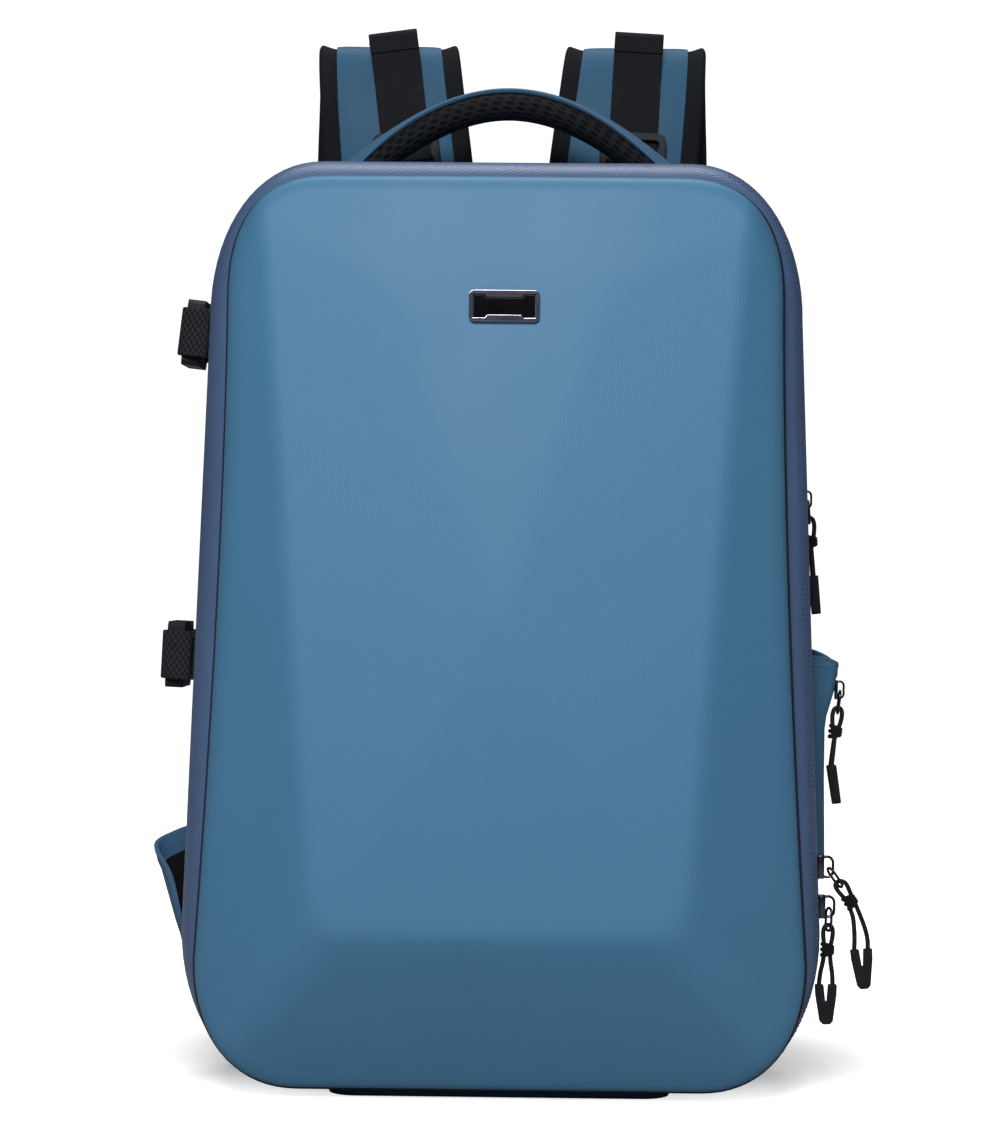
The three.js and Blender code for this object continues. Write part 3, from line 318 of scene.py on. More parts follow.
bpy.ops.object.shade_smooth_by_angle(angle=SHELL_SHARP)


def shader_group(name, size, result):
    """An empty group: a place and a named size go in, and one named value comes out."""
    group = bpy.data.node_groups.new(name, "ShaderNodeTree")
    group.interface.new_socket("Place", in_out="INPUT", socket_type="NodeSocketVector")
    group.interface.new_socket(size, in_out="INPUT", socket_type="NodeSocketFloat")
    group.interface.new_socket(result, in_out="OUTPUT", socket_type="NodeSocketFloat")
    return group, group.nodes.new("NodeGroupInput"), group.nodes.new("NodeGroupOutput")


# Weave: threads that cross over and under, from a flat place in metres.
weave, given, put = shader_group("weave", "Thread", "Height")
split = weave.nodes.new("ShaderNodeSeparateXYZ")
weave.links.new(given.outputs["Place"], split.inputs[0])
waves = []
for axis in ("X", "Y"):
    turns = maths(weave, "DIVIDE", split.outputs[axis], given.outputs["Thread"])
    waves.append(maths(weave, "SINE", maths(weave, "MULTIPLY", turns, math.pi)))
crossed = maths(weave, "MULTIPLY", *waves)
weave.links.new(maths(weave, "MULTIPLY_ADD", crossed, 0.5, 0.5), put.inputs["Height"])

# Handling: broad, faint patches where cloth has been touched and lies a little differently.
handling, given, put = shader_group("handling", "Patch", "Amount")
patches = handling.nodes.new("ShaderNodeTexNoise")
patches.inputs["Detail"].default_value = 3
handling.links.new(given.outputs["Place"], patches.inputs["Vector"])
handling.links.new(given.outputs["Patch"], patches.inputs["Scale"])
handling.links.new(patches.outputs["Fac"], put.inputs["Amount"])


def srgb(red, green, blue):
    """A colour from its values on a screen, 0 to 255."""
    def linear(value):
        value /= 255
        return value / 12.92 if value <= 0.04045 else ((value + 0.055) / 1.055) ** 2.4
    return (linear(red), linear(green), linear(blue), 1)


def put_group(tree, group, **values):
    """Puts a group among a material's nodes, and gives back what comes out of it."""
    node = tree.nodes.new("ShaderNodeGroup")
    node.node_tree = group
    for name, value in values.items():
        feed(tree, node.inputs[name], value)
    return node.outputs[0]


def raised(tree, height, depth):
    """A bump of that depth in metres."""
    node = tree.nodes.new("ShaderNodeBump")
    node.inputs["Distance"].default_value = depth
    tree.links.new(height, node.inputs["Height"])
    return node.outputs[0]


# Touched patches in a metre, how far raised threads are deepened, and how far the roughness goes both ways.
CLOTH_PATCHES, THREAD_SHADE, ROUGH_SPREAD = 14.0, 0.35, 0.06


def cloth(name, pale, deep, rough, thread, depth, source="UV", gloss=0.25, turn=(0, 0, 0), stretch=1.0):
    """A woven fabric: two shades of its colour, its roughness, and the size and relief of its threads."""
    made, tree, shader, places = new_material(name)
    turned = mapped(tree, places.outputs[source], Rotation=turn, Scale=(1, stretch, stretch))
    threads = put_group(tree, weave, Place=turned, Thread=thread)
    touched = put_group(tree, handling, Place=places.outputs["Object"], Patch=CLOTH_PATCHES)
    shade = mixed(tree, touched, deep, pale)
    shade = mixed(tree, ranged(tree, threads, 0, THREAD_SHADE), shade, deep)
    give(tree, shader, {
        "Base Color": shade, "Roughness": ranged(tree, touched, rough - ROUGH_SPREAD, rough + ROUGH_SPREAD),
        "Normal": raised(tree, threads, depth), "Specular IOR Level": gloss})
    return made


shell_cloth = cloth(
    "shell_laminate", srgb(73, 125, 161), srgb(70, 121, 157), 0.55, 0.0008, 0.00004,
    "Object", 0.36, (-math.pi / 2, 0, 0), 0.2)
fix(shell, shell_cloth, "blue_laminate", "front_shell")

# Piping
# A cord wrapped in dark navy cloth, that hides where the shell meets the zip band. It is sewn into the seam
# between them, right round the shell's rim.
# The piping's radius, the gap at a seam, how near corners are merged, and the angle that is kept sharp.
PIPING_RADIUS, SEAM_GAP, SAME_PLACE, SKIN_SHARP = 0.0014, 0.00035, 1e-7, math.radians(45)


def skin(name, rings, joined=False):
    """Lays a circle on the first ring and extrudes it onto the others, with a flat map in metres."""
    rings = [np.asarray(ring) for ring in rings]
    count = len(rings[0])
    bpy.ops.object.select_all(action="DESELECT")
    bpy.ops.mesh.primitive_circle_add(vertices=count, calc_uvs=False)
    made = bpy.context.object
    made.name = made.data.name = name
    bpy.ops.object.mode_set(mode="EDIT")
    mesh = bmesh.from_edit_mesh(made.data)
    place, row = mesh.verts.layers.int.new("place"), mesh.verts.layers.int.new("row")
    for i, v in enumerate(mesh.verts):
        v[place], v.co = i, rings[0][i]
    bmesh.update_edit_mesh(made.data)
    for r, ring in enumerate(rings[1:] + rings[:1] * joined, 1):
        bpy.ops.mesh.extrude_region_move()
        mesh = bmesh.from_edit_mesh(made.data)
        place, row = mesh.verts.layers.int["place"], mesh.verts.layers.int["row"]
        for v in mesh.verts:
            if v.select:
                v.co, v[row] = ring[v[place]], r
        bmesh.update_edit_mesh(made.data)
    lay_map(made, rings + rings[:1] * joined)
    if joined:
        bpy.ops.mesh.select_all(action="SELECT")
        bpy.ops.mesh.remove_doubles(threshold=SAME_PLACE)
    else:
        for end in (len(rings) - 1, 0):
            mesh = bmesh.from_edit_mesh(made.data)
            row = mesh.verts.layers.int["row"]
            for v in mesh.verts:
                v.select_set(v[row] == end)
            mesh.select_flush(True)
            bmesh.update_edit_mesh(made.data)
            bpy.ops.mesh.edge_face_add()
    bpy.ops.mesh.select_all(action="SELECT")
    bpy.ops.mesh.normals_make_consistent(inside=False)
    bpy.ops.object.mode_set(mode="OBJECT")
    bpy.ops.object.shade_smooth_by_angle(angle=SKIN_SHARP)
    return made


def lay_map(made, rings):
    """A flat map in metres: round the ring, and along from ring to ring."""
    points = np.array(rings)
    wrapped = np.concatenate([points, points[:, :1]], axis=1)
    around = np.linalg.norm(np.diff(wrapped, axis=1), axis=2).mean(axis=0).cumsum()
    around = np.concatenate([[0], around])
    length = np.linalg.norm(np.diff(wrapped, axis=0), axis=2).cumsum(axis=0)
    length = np.concatenate([np.zeros((1, wrapped.shape[1])), length], axis=0)
    mesh = bmesh.from_edit_mesh(made.data)
    place, row = mesh.verts.layers.int["place"], mesh.verts.layers.int["row"]
    flat = mesh.loops.layers.uv.new("cloth")
    last = points.shape[1] - 1
    for face in mesh.faces:
        spots = [loop.vert[place] for loop in face.loops]
        crosses = 0 in spots and last in spots and last > 1
        for loop, spot in zip(face.loops, spots):
            at = last + 1 if crosses and spot == 0 else spot
            loop[flat].uv = (around[at], length[loop.vert[row], at])
    bmesh.update_edit_mesh(made.data)


piping_middle = RIM["y"] + SEAM_GAP + PIPING_RADIUS
piping_rings = []
for turn in np.linspace(0, 2 * math.pi, 12, endpoint=False):
    proud, back = PIPING_RADIUS * math.cos(turn), PIPING_RADIUS * math.sin(turn)
    piping_rings.append(outline_ring(shrunk(RIM, -proud), piping_middle + back))
piping = skin("piping", piping_rings, joined=True)
piping_cloth = cloth("piping_cloth", srgb(36, 50, 72), srgb(24, 36, 54), 0.6, 0.0006, 0.00006)
fix(piping, piping_cloth, "dark_navy", "shell_piping")

# Zip band
# Two woven navy tapes with a satin face, padded so that they swell, and a coil of fine teeth between
# them. The band runs right round the bag, and opens it like a clam.
BELLY = dict(
    y=-0.022, side_top=0.1495, side_bottom=0.161, top=0.47, bottom=0.0036, flare=1,
    top_x=0.057, top_z=0.08, top_power=2.1, bottom_x=0.063, bottom_z=0.079, bottom_power=2.1,
)
SEAM = dict(
    y=-0.004, side_top=0.1485, side_bottom=0.16, top=0.469, bottom=0.0036, flare=1,
    top_x=0.057, top_z=0.078, top_power=2.1, bottom_x=0.063, bottom_z=0.079, bottom_power=2.1,
)
TAPE_WALL, COIL_WIDTH, COIL_PROUD = 0.002, 0.0034, 0.0008


def between(low, high, share):
    """An outline that lies between two others."""
    return {key: low[key] + (high[key] - low[key]) * share for key in low}


def wall_around(name, rows, wall):
    """A wall that runs right round the bag, through its outer rows and back through its inner ones."""
    outer = [outline_ring(row) for row in rows]
    inner = [outline_ring(shrunk(row, wall)) for row in reversed(rows)]
    return skin(name, outer + inner, joined=True)


coil_front, coil_rear = BELLY["y"] - COIL_WIDTH / 2, BELLY["y"] + COIL_WIDTH / 2
tape_start = RIM["y"] + 2 * SEAM_GAP + 2 * PIPING_RADIUS
BAND_START, BAND_ROWS, REAR_ROWS, REAR_SWELL, RIM_GAP = math.radians(16), 16, 8, 0.0008, 0.0003


def band_row(share):
    """A row of the front tape, which swells like part of a tube from the piping to the coil."""
    turn = BAND_START + (math.pi / 2 - BAND_START) * share
    rise = (math.sin(turn) - math.sin(BAND_START)) / (1 - math.sin(BAND_START))
    row = between(shrunk(RIM, -RIM_GAP), BELLY, rise)
    back = 1 - math.cos(turn) / math.cos(BAND_START)
    row["y"] = tape_start + (coil_front - SEAM_GAP - tape_start) * back
    return row


front_rows = [band_row(step / BAND_ROWS) for step in range(BAND_ROWS + 1)]
front_tape = wall_around("front_tape", front_rows, TAPE_WALL)
rear_rows = []
for step in range(REAR_ROWS + 1):
    share = step / REAR_ROWS
    row = shrunk(between(BELLY, SEAM, share), -REAR_SWELL * math.sin(share * math.pi))
    row["bottom"] = BELLY["bottom"]
    row["y"] = coil_rear + SEAM_GAP + (SEAM["y"] - 2 * SEAM_GAP - coil_rear) * share
    rear_rows.append(row)
rear_tape = wall_around("rear_tape", rear_rows, TAPE_WALL)
tape_cloth = cloth(
    "tape_satin", srgb(80, 104, 142), srgb(66, 88, 122), 0.42, 0.0009, 0.00012,
    gloss=0.5, turn=(0, 0, 0.5), stretch=0.6)
fix(front_tape, tape_cloth, "navy_tape", "zip_tape_front")
fix(rear_tape, tape_cloth, "navy_tape", "zip_tape_rear")


def frames_along(points, spacing):
    """Even places along a closed ring: each is a point, the way along, and the way out from the middle."""
    ring = np.concatenate([points, points[:1]])
    steps = np.linalg.norm(np.diff(ring, axis=0), axis=1)
    reach = np.concatenate([[0], steps.cumsum()])
    count = int(round(reach[-1] / spacing))
    at = np.linspace(0, reach[-1], count, endpoint=False)
    spots = np.stack([np.interp(at, reach, ring[:, k]) for k in range(3)], axis=1)
    along = np.roll(spots, -1, axis=0) - np.roll(spots, 1, axis=0)
    along /= np.linalg.norm(along, axis=1)[:, None]
    out = np.cross(along, (0, -1, 0))
    out *= np.sign(((spots - points.mean(axis=0)) * out).sum(axis=1))[:, None]
    return spots, along, out


def pick(piece):
    """Selects one piece alone, and makes it the active one."""
    bpy.ops.object.select_all(action="DESELECT")
    piece.select_set(True)
    bpy.context.view_layer.objects.active = piece


def copies(name, unit, spots, along, out):
    """Copies a small unit, modelled along x with its face up z, onto each place, as one mesh."""
    corners = np.array([v.co for v in unit.data.vertices])
    faces = [list(p.vertices) for p in unit.data.polygons]
    side = np.cross(out, along)
    placed = spots[:, None] + sum(
        corners[None, :, k:k + 1] * way[:, None] for k, way in enumerate((along, side, out)))
    mesh = bpy.data.meshes.new(name)
    many = [[i + k * len(corners) for i in face] for k in range(len(spots)) for face in faces]
    mesh.from_pydata(placed.reshape(-1, 3).tolist(), [], many)
    made = bpy.data.objects.new(name, mesh)
    bpy.context.collection.objects.link(made)
    bpy.data.objects.remove(unit)
    pick(made)
    bpy.ops.object.shade_smooth()
    return made


def bead(length, width, height):
    """A small rounded bead: a sphere of few faces, drawn out."""
    bpy.ops.object.select_all(action="DESELECT")
    bpy.ops.mesh.primitive_uv_sphere_add(segments=6, ring_count=4, rotation=(0, math.pi / 2, 0))
    made = bpy.context.object
    made.scale = (height / 2, width / 2, length / 2)
    bpy.ops.object.transform_apply()
    return made


# Length, width and height of a tooth and of a stitch, how far apart they are, and how deep the teeth sit.
TOOTH, TOOTH_SPACING, TOOTH_SUNK = (0.0011, COIL_WIDTH, 0.0021), 0.00125, 0.001
BAND_STITCH, BAND_STITCH_SPACING = (0.0014, 0.0007, 0.0006), 0.0026
tooth_places = frames_along(outline_ring(shrunk(BELLY, TOOTH_SUNK)), TOOTH_SPACING)
teeth = copies("zip_teeth", bead(*TOOTH), *tooth_places)
coil_thread = cloth("coil_thread", srgb(60, 80, 116), srgb(44, 62, 94), 0.4, 0.0004, 0.00003, "Object")
fix(teeth, coil_thread, "navy_tape", "zip_coil")
# On the side that opens, two rows of stitches hold the coil to the front tape.
OPEN_SIDE, STITCH_PROUD = 0.11, 0.0001
for name, share in (("inner", 0.42), ("outer", 0.58)):
    stitch_ring = outline_ring(shrunk(band_row(share), -STITCH_PROUD))
    stitch_places = frames_along(stitch_ring, BAND_STITCH_SPACING)
    opens = stitch_places[0][:, 0] > OPEN_SIDE
    stitches = copies(f"band_stitches_{name}", bead(*BAND_STITCH), *[part[opens] for part in stitch_places])
    fix(stitches, coil_thread, "navy_tape")

# Side wall
# Padded blue laminate round the sides, with a bound seam at each edge. It is sewn to the zip band in front
# and to the back panel behind, and carries the pockets and straps.
BACK = dict(
    y=0.066, side_top=0.145, side_bottom=0.156, top=0.468, bottom=0.0036, flare=1,
    top_x=0.055, top_z=0.07, top_power=2.3, bottom_x=0.06, bottom_z=0.074, bottom_power=2.2,
)
WALL, WALL_ROWS = 0.005, 24
# How far in from an edge its seam lies, how wide and how deep it is, and how far the edge is rounded.
BINDING_PLACE, BINDING_WIDTH, BINDING_DEPTH, EDGE_WIDTH, EDGE_DEPTH = 0.0045, 0.0012, 0.0009, 0.0008, 0.0006
wall_rows = []
for step in range(WALL_ROWS + 1):
    share = step / WALL_ROWS
    edge = min(share, 1 - share) * (BACK["y"] - SEAM["y"])
    dip = BINDING_DEPTH * math.exp(-((edge - BINDING_PLACE) / BINDING_WIDTH) ** 2)
    row = shrunk(between(SEAM, BACK, share), dip + EDGE_DEPTH * math.exp(-edge / EDGE_WIDTH))
    row["bottom"] = SEAM["bottom"]
    wall_rows.append(row)
side_wall = wall_around("side_wall", wall_rows, WALL)
wall_cloth = cloth("wall_laminate", srgb(60, 100, 130), srgb(52, 90, 120), 0.6, 0.0008, 0.00005)
fix(side_wall, wall_cloth, "blue_laminate", "body_wall")

# Base panel
# A stiff panel covered in dark blue cloth, under the bag. It is sewn in along its edges, and the bag stands
# on it.
# How near corners are merged, and the angles that are flat, that are rounded, and that are kept sharp.
MOULD_MERGE, MOULD_FLAT, MOULD_CORNER, MOULD_SHARP = 1e-6, math.radians(2), math.radians(30), math.radians(40)


def moulded(name, node, round_edge, material, slot, segments=3):
    """Stands for a plain solid: a copy, merged and cleaned, with edges rounded as a mould leaves them."""
    made = bpy.data.objects.new(name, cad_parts[node].data.copy())
    bpy.context.collection.objects.link(made)
    pick(made)
    bpy.ops.object.mode_set(mode="EDIT")
    bpy.ops.mesh.select_all(action="SELECT")
    bpy.ops.mesh.remove_doubles(threshold=MOULD_MERGE)
    bpy.ops.mesh.dissolve_limited(angle_limit=MOULD_FLAT)
    bpy.ops.object.mode_set(mode="OBJECT")
    add_modifier(
        made, "BEVEL", width=round_edge, segments=segments,
        limit_method="ANGLE", angle_limit=MOULD_CORNER)
    bpy.ops.object.shade_smooth_by_angle(angle=MOULD_SHARP)
    add_modifier(made, "WEIGHTED_NORMAL", keep_sharp=True)
    fix(made, material, slot, node)
    return made


base_cloth = cloth("base_cloth", srgb(46, 82, 108), srgb(38, 72, 96), 0.62, 0.0012, 0.0001, "Object")
moulded("base_board", "base_panel", 0.0012, base_cloth, "dark_navy")

# Back panel
# A foam pad covered in black spacer mesh, against the wearer's back. It is sewn to the side wall all round,
# and a channel is pressed in along its middle.

# Cells: rounded holes on a honeycomb, from a flat place in metres, 1 in a hole and 0 on the yarn.
HOLE_START, HOLE_FULL = -0.2, 1.6
cells, given, put = shader_group("air_mesh", "Cell", "Hole")
split = cells.nodes.new("ShaderNodeSeparateXYZ")
cells.links.new(given.outputs["Place"], split.inputs[0])
x, y = [maths(cells, "DIVIDE", split.outputs[axis], given.outputs["Cell"]) for axis in ("X", "Y")]
waves = []
for turn in (0, math.pi / 3, 2 * math.pi / 3):
    a = maths(cells, "MULTIPLY", x, 2 * math.pi * math.cos(turn))
    b = maths(cells, "MULTIPLY", y, 2 * math.pi * math.sin(turn))
    waves.append(maths(cells, "COSINE", maths(cells, "ADD", a, b)))
total = maths(cells, "ADD", maths(cells, "ADD", waves[0], waves[1]), waves[2])
cells.links.new(ranged(cells, total, 0, 1, HOLE_START, HOLE_FULL), put.inputs["Hole"])

YARN_FUZZ, FOAM_BLACK, MESH_BEARING = 900.0, (0.0036, 0.0036, 0.0042, 1), 0.75


def air_mesh(name, pale, deep, cell, depth, source="UV", oval=1.0, turn=(0, 0, 0)):
    """Black spacer mesh: yarn round rows of small oval holes, with the dark foam seen through them.

    Mesh that is placed by Object is stretched flat, with no holes where it turns away from the wearer's back.
    """
    made, tree, shader, places = new_material(name)
    drawn = mapped(tree, places.outputs[source], Rotation=turn, Scale=(1, 1 / oval, 1))
    hole = put_group(tree, cells, Place=drawn, Cell=cell)
    if source == "Object":
        bearing = tree.nodes.new("ShaderNodeSeparateXYZ")
        tree.links.new(places.outputs["Normal"], bearing.inputs[0])
        faces_back = maths(tree, "GREATER_THAN", bearing.outputs["Y"], MESH_BEARING)
        hole = maths(tree, "MULTIPLY", hole, faces_back)
    yarn = mixed(tree, put_group(tree, handling, Place=places.outputs["Object"], Patch=YARN_FUZZ), deep, pale)
    give(tree, shader, {
        "Base Color": mixed(tree, hole, yarn, FOAM_BLACK), "Roughness": 0.85, "Specular IOR Level": 0.12,
        "Normal": raised(tree, maths(tree, "SUBTRACT", 1.0, hole), depth)})
    return made


PANEL_EDGE = [(0.001, 0), (0.0003, 0.003), (0, 0.0055), (0.0012, 0.008), (0.0035, 0.0095), (0.008, 0.01)]
PANEL_SWELL, PANEL_VOXEL, PANEL_PRESSURE, PANEL_FRAMES, SEWN_DEPTH = 0.004, 0.005, 4, 20, 0.005
CHANNEL_WIDTH, CHANNEL_DEPTH, CHANNEL_START, CHANNEL_FADE = 0.007, 0.0035, 0.006, 0.004
back_start = BACK["y"] + SEAM_GAP
back_rings = [outline_ring(shrunk(BACK, inset), back_start + up) for inset, up in PANEL_EDGE]
back_panel = skin("back_pad", back_rings)
# The padding swells like cloth over foam, held where it is sewn to the wall. Then its channel is pressed.
back_panel.data.remesh_voxel_size = PANEL_VOXEL
bpy.ops.object.voxel_remesh()
flat = [v.co.copy() for v in back_panel.data.vertices]
sewn = back_panel.vertex_groups.new(name="sewn")
sewn.add([i for i, place in enumerate(flat) if place.y < back_start + SEWN_DEPTH], 1, "REPLACE")
padding = back_panel.modifiers.new("padding", "CLOTH")
padding.settings.use_pressure = True
padding.settings.uniform_pressure_force = PANEL_PRESSURE
padding.settings.vertex_group_mass = "sewn"
padding.settings.effector_weights.gravity = 0
for step in range(1, PANEL_FRAMES + 1):
    bpy.context.scene.frame_set(step)
bpy.ops.object.modifier_apply(modifier=padding.name)
bpy.context.scene.frame_set(1)
for v, place in zip(back_panel.data.vertices, flat):
    moved = v.co - place
    if moved.length > PANEL_SWELL:
        moved *= PANEL_SWELL / moved.length
    v.co = place + moved
    on_face = min(1, max(0, (v.co.y - back_start - CHANNEL_START) / CHANNEL_FADE))
    v.co.y -= CHANNEL_DEPTH * on_face * math.exp(-(v.co.x / CHANNEL_WIDTH) ** 4)
add_modifier(back_panel, "SUBSURF", levels=1)
bpy.ops.object.shade_smooth()
back_mesh = air_mesh(
    "back_mesh", srgb(64, 66, 73), srgb(45, 47, 53), 0.0032, 0.0004, "Object", turn=(-math.pi / 2, 0, 0))
fix(back_panel, back_mesh, "black_mesh", "back_panel")

# Handle
# A padded arch of black mesh over the top, sewn in at both ends. A strip of blue laminate lies along it, and
# slews round to the front towards its ends.
HANDLE_Y, HANDLE_FOOT, HANDLE_RISE, HANDLE_LEAN, HANDLE_START = 0.022, 0.088, 0.52, 0.02, 0.46
HANDLE_THICK, HANDLE_DEEP, HANDLE_COVER = 0.0074, 0.0115, 0.0015
# The strip's edges, in degrees round the grip, and how fast they slew towards the left and the right end.
STRIP_FROM, STRIP_TO, LEFT_SLEW, RIGHT_SLEW = -25, 126, 470, 190


def handle_frame(share):
    """A place on the handle's arch, which has four control points, and the way up from it."""
    half = np.array([(-HANDLE_FOOT, HANDLE_START), (-HANDLE_LEAN, HANDLE_RISE)])
    bends = np.concatenate([half, half[::-1] * (-1, 1)])
    rest, both = 1 - share, 2 * (1 - share) * share
    weights = np.array([rest ** 3, 3 * rest * rest * share, 3 * rest * share * share, share ** 3])
    slopes = 3 * np.array([-rest * rest, rest * rest - both, both - share * share, share * share])
    middle, along = weights @ bends, slopes @ bends
    along /= np.linalg.norm(along)
    return np.array((middle[0], HANDLE_Y, middle[1])), np.array((-along[1], 0, along[0]))


def handle_rings(section, steps=56):
    """Rings along the handle, each with the section that it has there."""
    rings = []
    for step in range(steps + 1):
        share = step / steps
        middle, up = handle_frame(share)
        rings.append([middle + np.array((0, deep, 0)) + up * high for deep, high in section(share)])
    return rings


def oval(grow, start, stop, count):
    """Part of the grip's oval section, grown all round, between two angles in degrees."""
    turns = np.radians(np.linspace(start, stop, count))
    return [((HANDLE_DEEP + grow) * math.cos(t), (HANDLE_THICK + grow) * math.sin(t)) for t in turns]


def cut_off(piece, level):
    """Cuts away what is under a level, and closes the cut."""
    pick(piece)
    bpy.ops.object.mode_set(mode="EDIT")
    bpy.ops.mesh.select_all(action="SELECT")
    bpy.ops.mesh.bisect(plane_co=(0, 0, level), plane_no=(0, 0, 1), use_fill=True, clear_inner=True)
    bpy.ops.object.mode_set(mode="OBJECT")


grip = skin("handle_pad", handle_rings(lambda share: oval(0, 0, 360, 33)[:-1]))
cut_off(grip, SEAM["top"] + SEAM_GAP)
handle_mesh = air_mesh("handle_mesh", srgb(33, 34, 39), srgb(24, 25, 29), 0.003, 0.0006, oval=1.95)
fix(grip, handle_mesh, "black_mesh", "handle_grip")


def cover_section(share):
    """Across the strip, which lies over the back of the grip in the middle of the handle."""
    away = abs(0.5 - share)
    slew = LEFT_SLEW * away ** 3 if share < 0.5 else RIGHT_SLEW * away ** 2
    start, stop = STRIP_FROM + slew, STRIP_TO + slew
    return oval(SEAM_GAP + HANDLE_COVER, start, stop, 16) + oval(SEAM_GAP, start, stop, 16)[::-1]


cover = skin("handle_strip", handle_rings(cover_section))
cut_off(cover, SEAM["top"] + SEAM_GAP)
fix(cover, wall_cloth, "blue_laminate", "handle_cover")

# Shoulder straps
# Foam pads in black mesh with a blue laminate outer face, sewn to the top of the back panel. They rise
# over the bag's top and fall behind it.
# The right strap's middle line, from its seam over the crest and down behind, and its width there.
STRAP_LINE = [
    (0.057, 0.0881, 0.422, 0.081), (0.0595, 0.0884, 0.47, 0.0805), (0.064, 0.0915, 0.514, 0.078),
    (0.067, 0.103, 0.54, 0.076), (0.068, 0.116, 0.527, 0.075), (0.07, 0.124, 0.49, 0.074),
    (0.073, 0.13, 0.42, 0.072), (0.078, 0.131, 0.345, 0.07), (0.084, 0.127, 0.28, 0.065),
    (0.091, 0.12, 0.222, 0.056),
]
STRAP_HALF, STRAP_COVER, STRAP_EDGE, STRAP_CUP, STRAP_HEM = 0.0055, 0.0015, 0.0098, 0.0034, 0.0028
SEAM_DIP, SEAM_DIP_WIDTH, COVER_PUFF, COVER_CROWN = 0.0008, 0.0022, 0.65, 0.0008
# From where to where along the strap its face is sewn on, and how close by its direction is measured.
COVER_START, COVER_END, NEARBY = 0.005, 0.985, 1e-4


def smooth_line(points, share):
    """A point on the smooth curve through the points, at a share of its spans."""
    points = np.asarray(points, float)
    spans = len(points) - 1
    span = min(int(share * spans), spans - 1)
    local = share * spans - span
    before = points[span - 1] if span else 2 * points[0] - points[1]
    a, b = points[span], points[span + 1]
    after = points[span + 2] if span + 2 <= spans else 2 * points[-1] - points[-2]
    t0, t1, t2 = [max(np.linalg.norm(q - p), 1e-9) ** 0.5 for p, q in ((before, a), (a, b), (b, after))]
    leave = ((a - before) / t0 - (b - before) / (t0 + t1) + (b - a) / t1) * t1
    reach = ((b - a) / t1 - (after - a) / (t1 + t2) + (after - b) / t2) * t1
    square, cube = 3 * (b - a) - 2 * leave - reach, 2 * (a - b) + leave + reach
    return a + leave * local + square * local ** 2 + cube * local ** 3


def strap_frame(share):
    """The right strap at a share of its length: its middle, the ways out and across, and its width."""
    line = [row[:3] for row in STRAP_LINE]
    middle = smooth_line(line, share)
    along = smooth_line(line, min(1, share + NEARBY)) - smooth_line(line, max(0, share - NEARBY))
    along /= np.linalg.norm(along)
    out = np.array((0, -along[2], along[1]))
    out /= np.linalg.norm(out)
    spans = len(STRAP_LINE) - 1
    width = np.interp(share * spans, range(spans + 1), [row[3] for row in STRAP_LINE])
    return middle, out, np.cross(along, out), width


def strap_rings(section, first=0.0, last=1.0, steps=90):
    """Rings along the right strap, which is cupped across once it is clear of its seam."""
    rings = []
    spans = len(STRAP_LINE) - 1
    for step in range(steps + 1):
        share = first + (last - first) * step / steps
        middle, out, side, width = strap_frame(share)
        climb = min(max(share * spans - 1, 0), 1)
        cup = STRAP_CUP * climb * climb * (3 - 2 * climb)
        across = [(a, b + cup * abs(2 * a / width) ** 5) for a, b in section(width)]
        rings.append([middle + side * a + out * b for a, b in across])
    return rings


def pad_section(width):
    """Across the foam: flat under, round at the hems, with a dip where the face's edges are sewn down."""
    flat, seam = width / 2 - STRAP_HEM, width / 2 - STRAP_EDGE
    face = np.linspace(-1, 1, 15) * flat
    turns = np.radians(np.linspace(-78, 78, 9))
    lower = [(a, -STRAP_HALF) for a in face]
    right = [(flat + STRAP_HEM * math.cos(t), STRAP_HALF * math.sin(t)) for t in turns]
    dips = SEAM_DIP * np.exp(-((np.abs(face) - seam) / SEAM_DIP_WIDTH) ** 2)
    upper = [(a, STRAP_HALF - dip) for a, dip in zip(face[::-1], dips[::-1])]
    return lower + right + upper + [(-a, b) for a, b in right[::-1]]


def cover_face(width):
    """Across the blue face: flat under, and puffed up between its two seams."""
    seam, under = width / 2 - STRAP_EDGE, STRAP_HALF + SEAM_GAP
    low, puff = [], []
    for a in np.linspace(-1, 1, 17):
        low.append((a * seam, under))
        puff.append((a * seam, under + STRAP_COVER * (1 - COVER_PUFF * a ** 8) + COVER_CROWN * (1 - a * a)))
    return low + puff[::-1]


def mirrored(piece):
    """Turns a piece for the right side into the one for the left."""
    pick(piece)
    piece.scale = (-1, 1, 1)
    bpy.ops.object.transform_apply()
    bpy.ops.object.mode_set(mode="EDIT")
    bpy.ops.mesh.select_all(action="SELECT")
    bpy.ops.mesh.normals_make_consistent(inside=False)
    bpy.ops.object.mode_set(mode="OBJECT")


strap_mesh = air_mesh("strap_mesh", srgb(34, 36, 41), srgb(24, 25, 29), 0.0011, 0.00015)
strap_cloth = cloth("strap_laminate", srgb(47, 91, 121), srgb(41, 85, 114), 0.62, 0.0008, 0.00005)
for hand in ("left", "right"):
    pad = skin(f"strap_foam_{hand}", strap_rings(pad_section))
    face = skin(f"strap_face_{hand}", strap_rings(cover_face, COVER_START, COVER_END))
    if hand == "left":
        mirrored(pad)
        mirrored(face)
    fix(pad, strap_mesh, "black_mesh", f"strap_pad_{hand}")
    fix(face, strap_cloth, "blue_laminate", f"strap_cover_{hand}")

# Load lifters
# Ribbed webbing sewn under the crest of each strap and folded over at the end, down to a plastic ladder
# lock that a short loop of webbing holds at the top of the bag.
LIFTER_PLACES = {"left": (0.0555, 0.0643), "right": (0.065, 0.0685)}
LIFTER_Y, LIFTER_Z, LIFTER_TAB, LIFTER_HEIGHT = 0.0764, 0.486, 0.5526, 0.068
WEB_WIDTH, WEB_THICK, WEB_GAP, MOULD_EDGE = 0.026, 0.0016, 0.0012, 0.0009
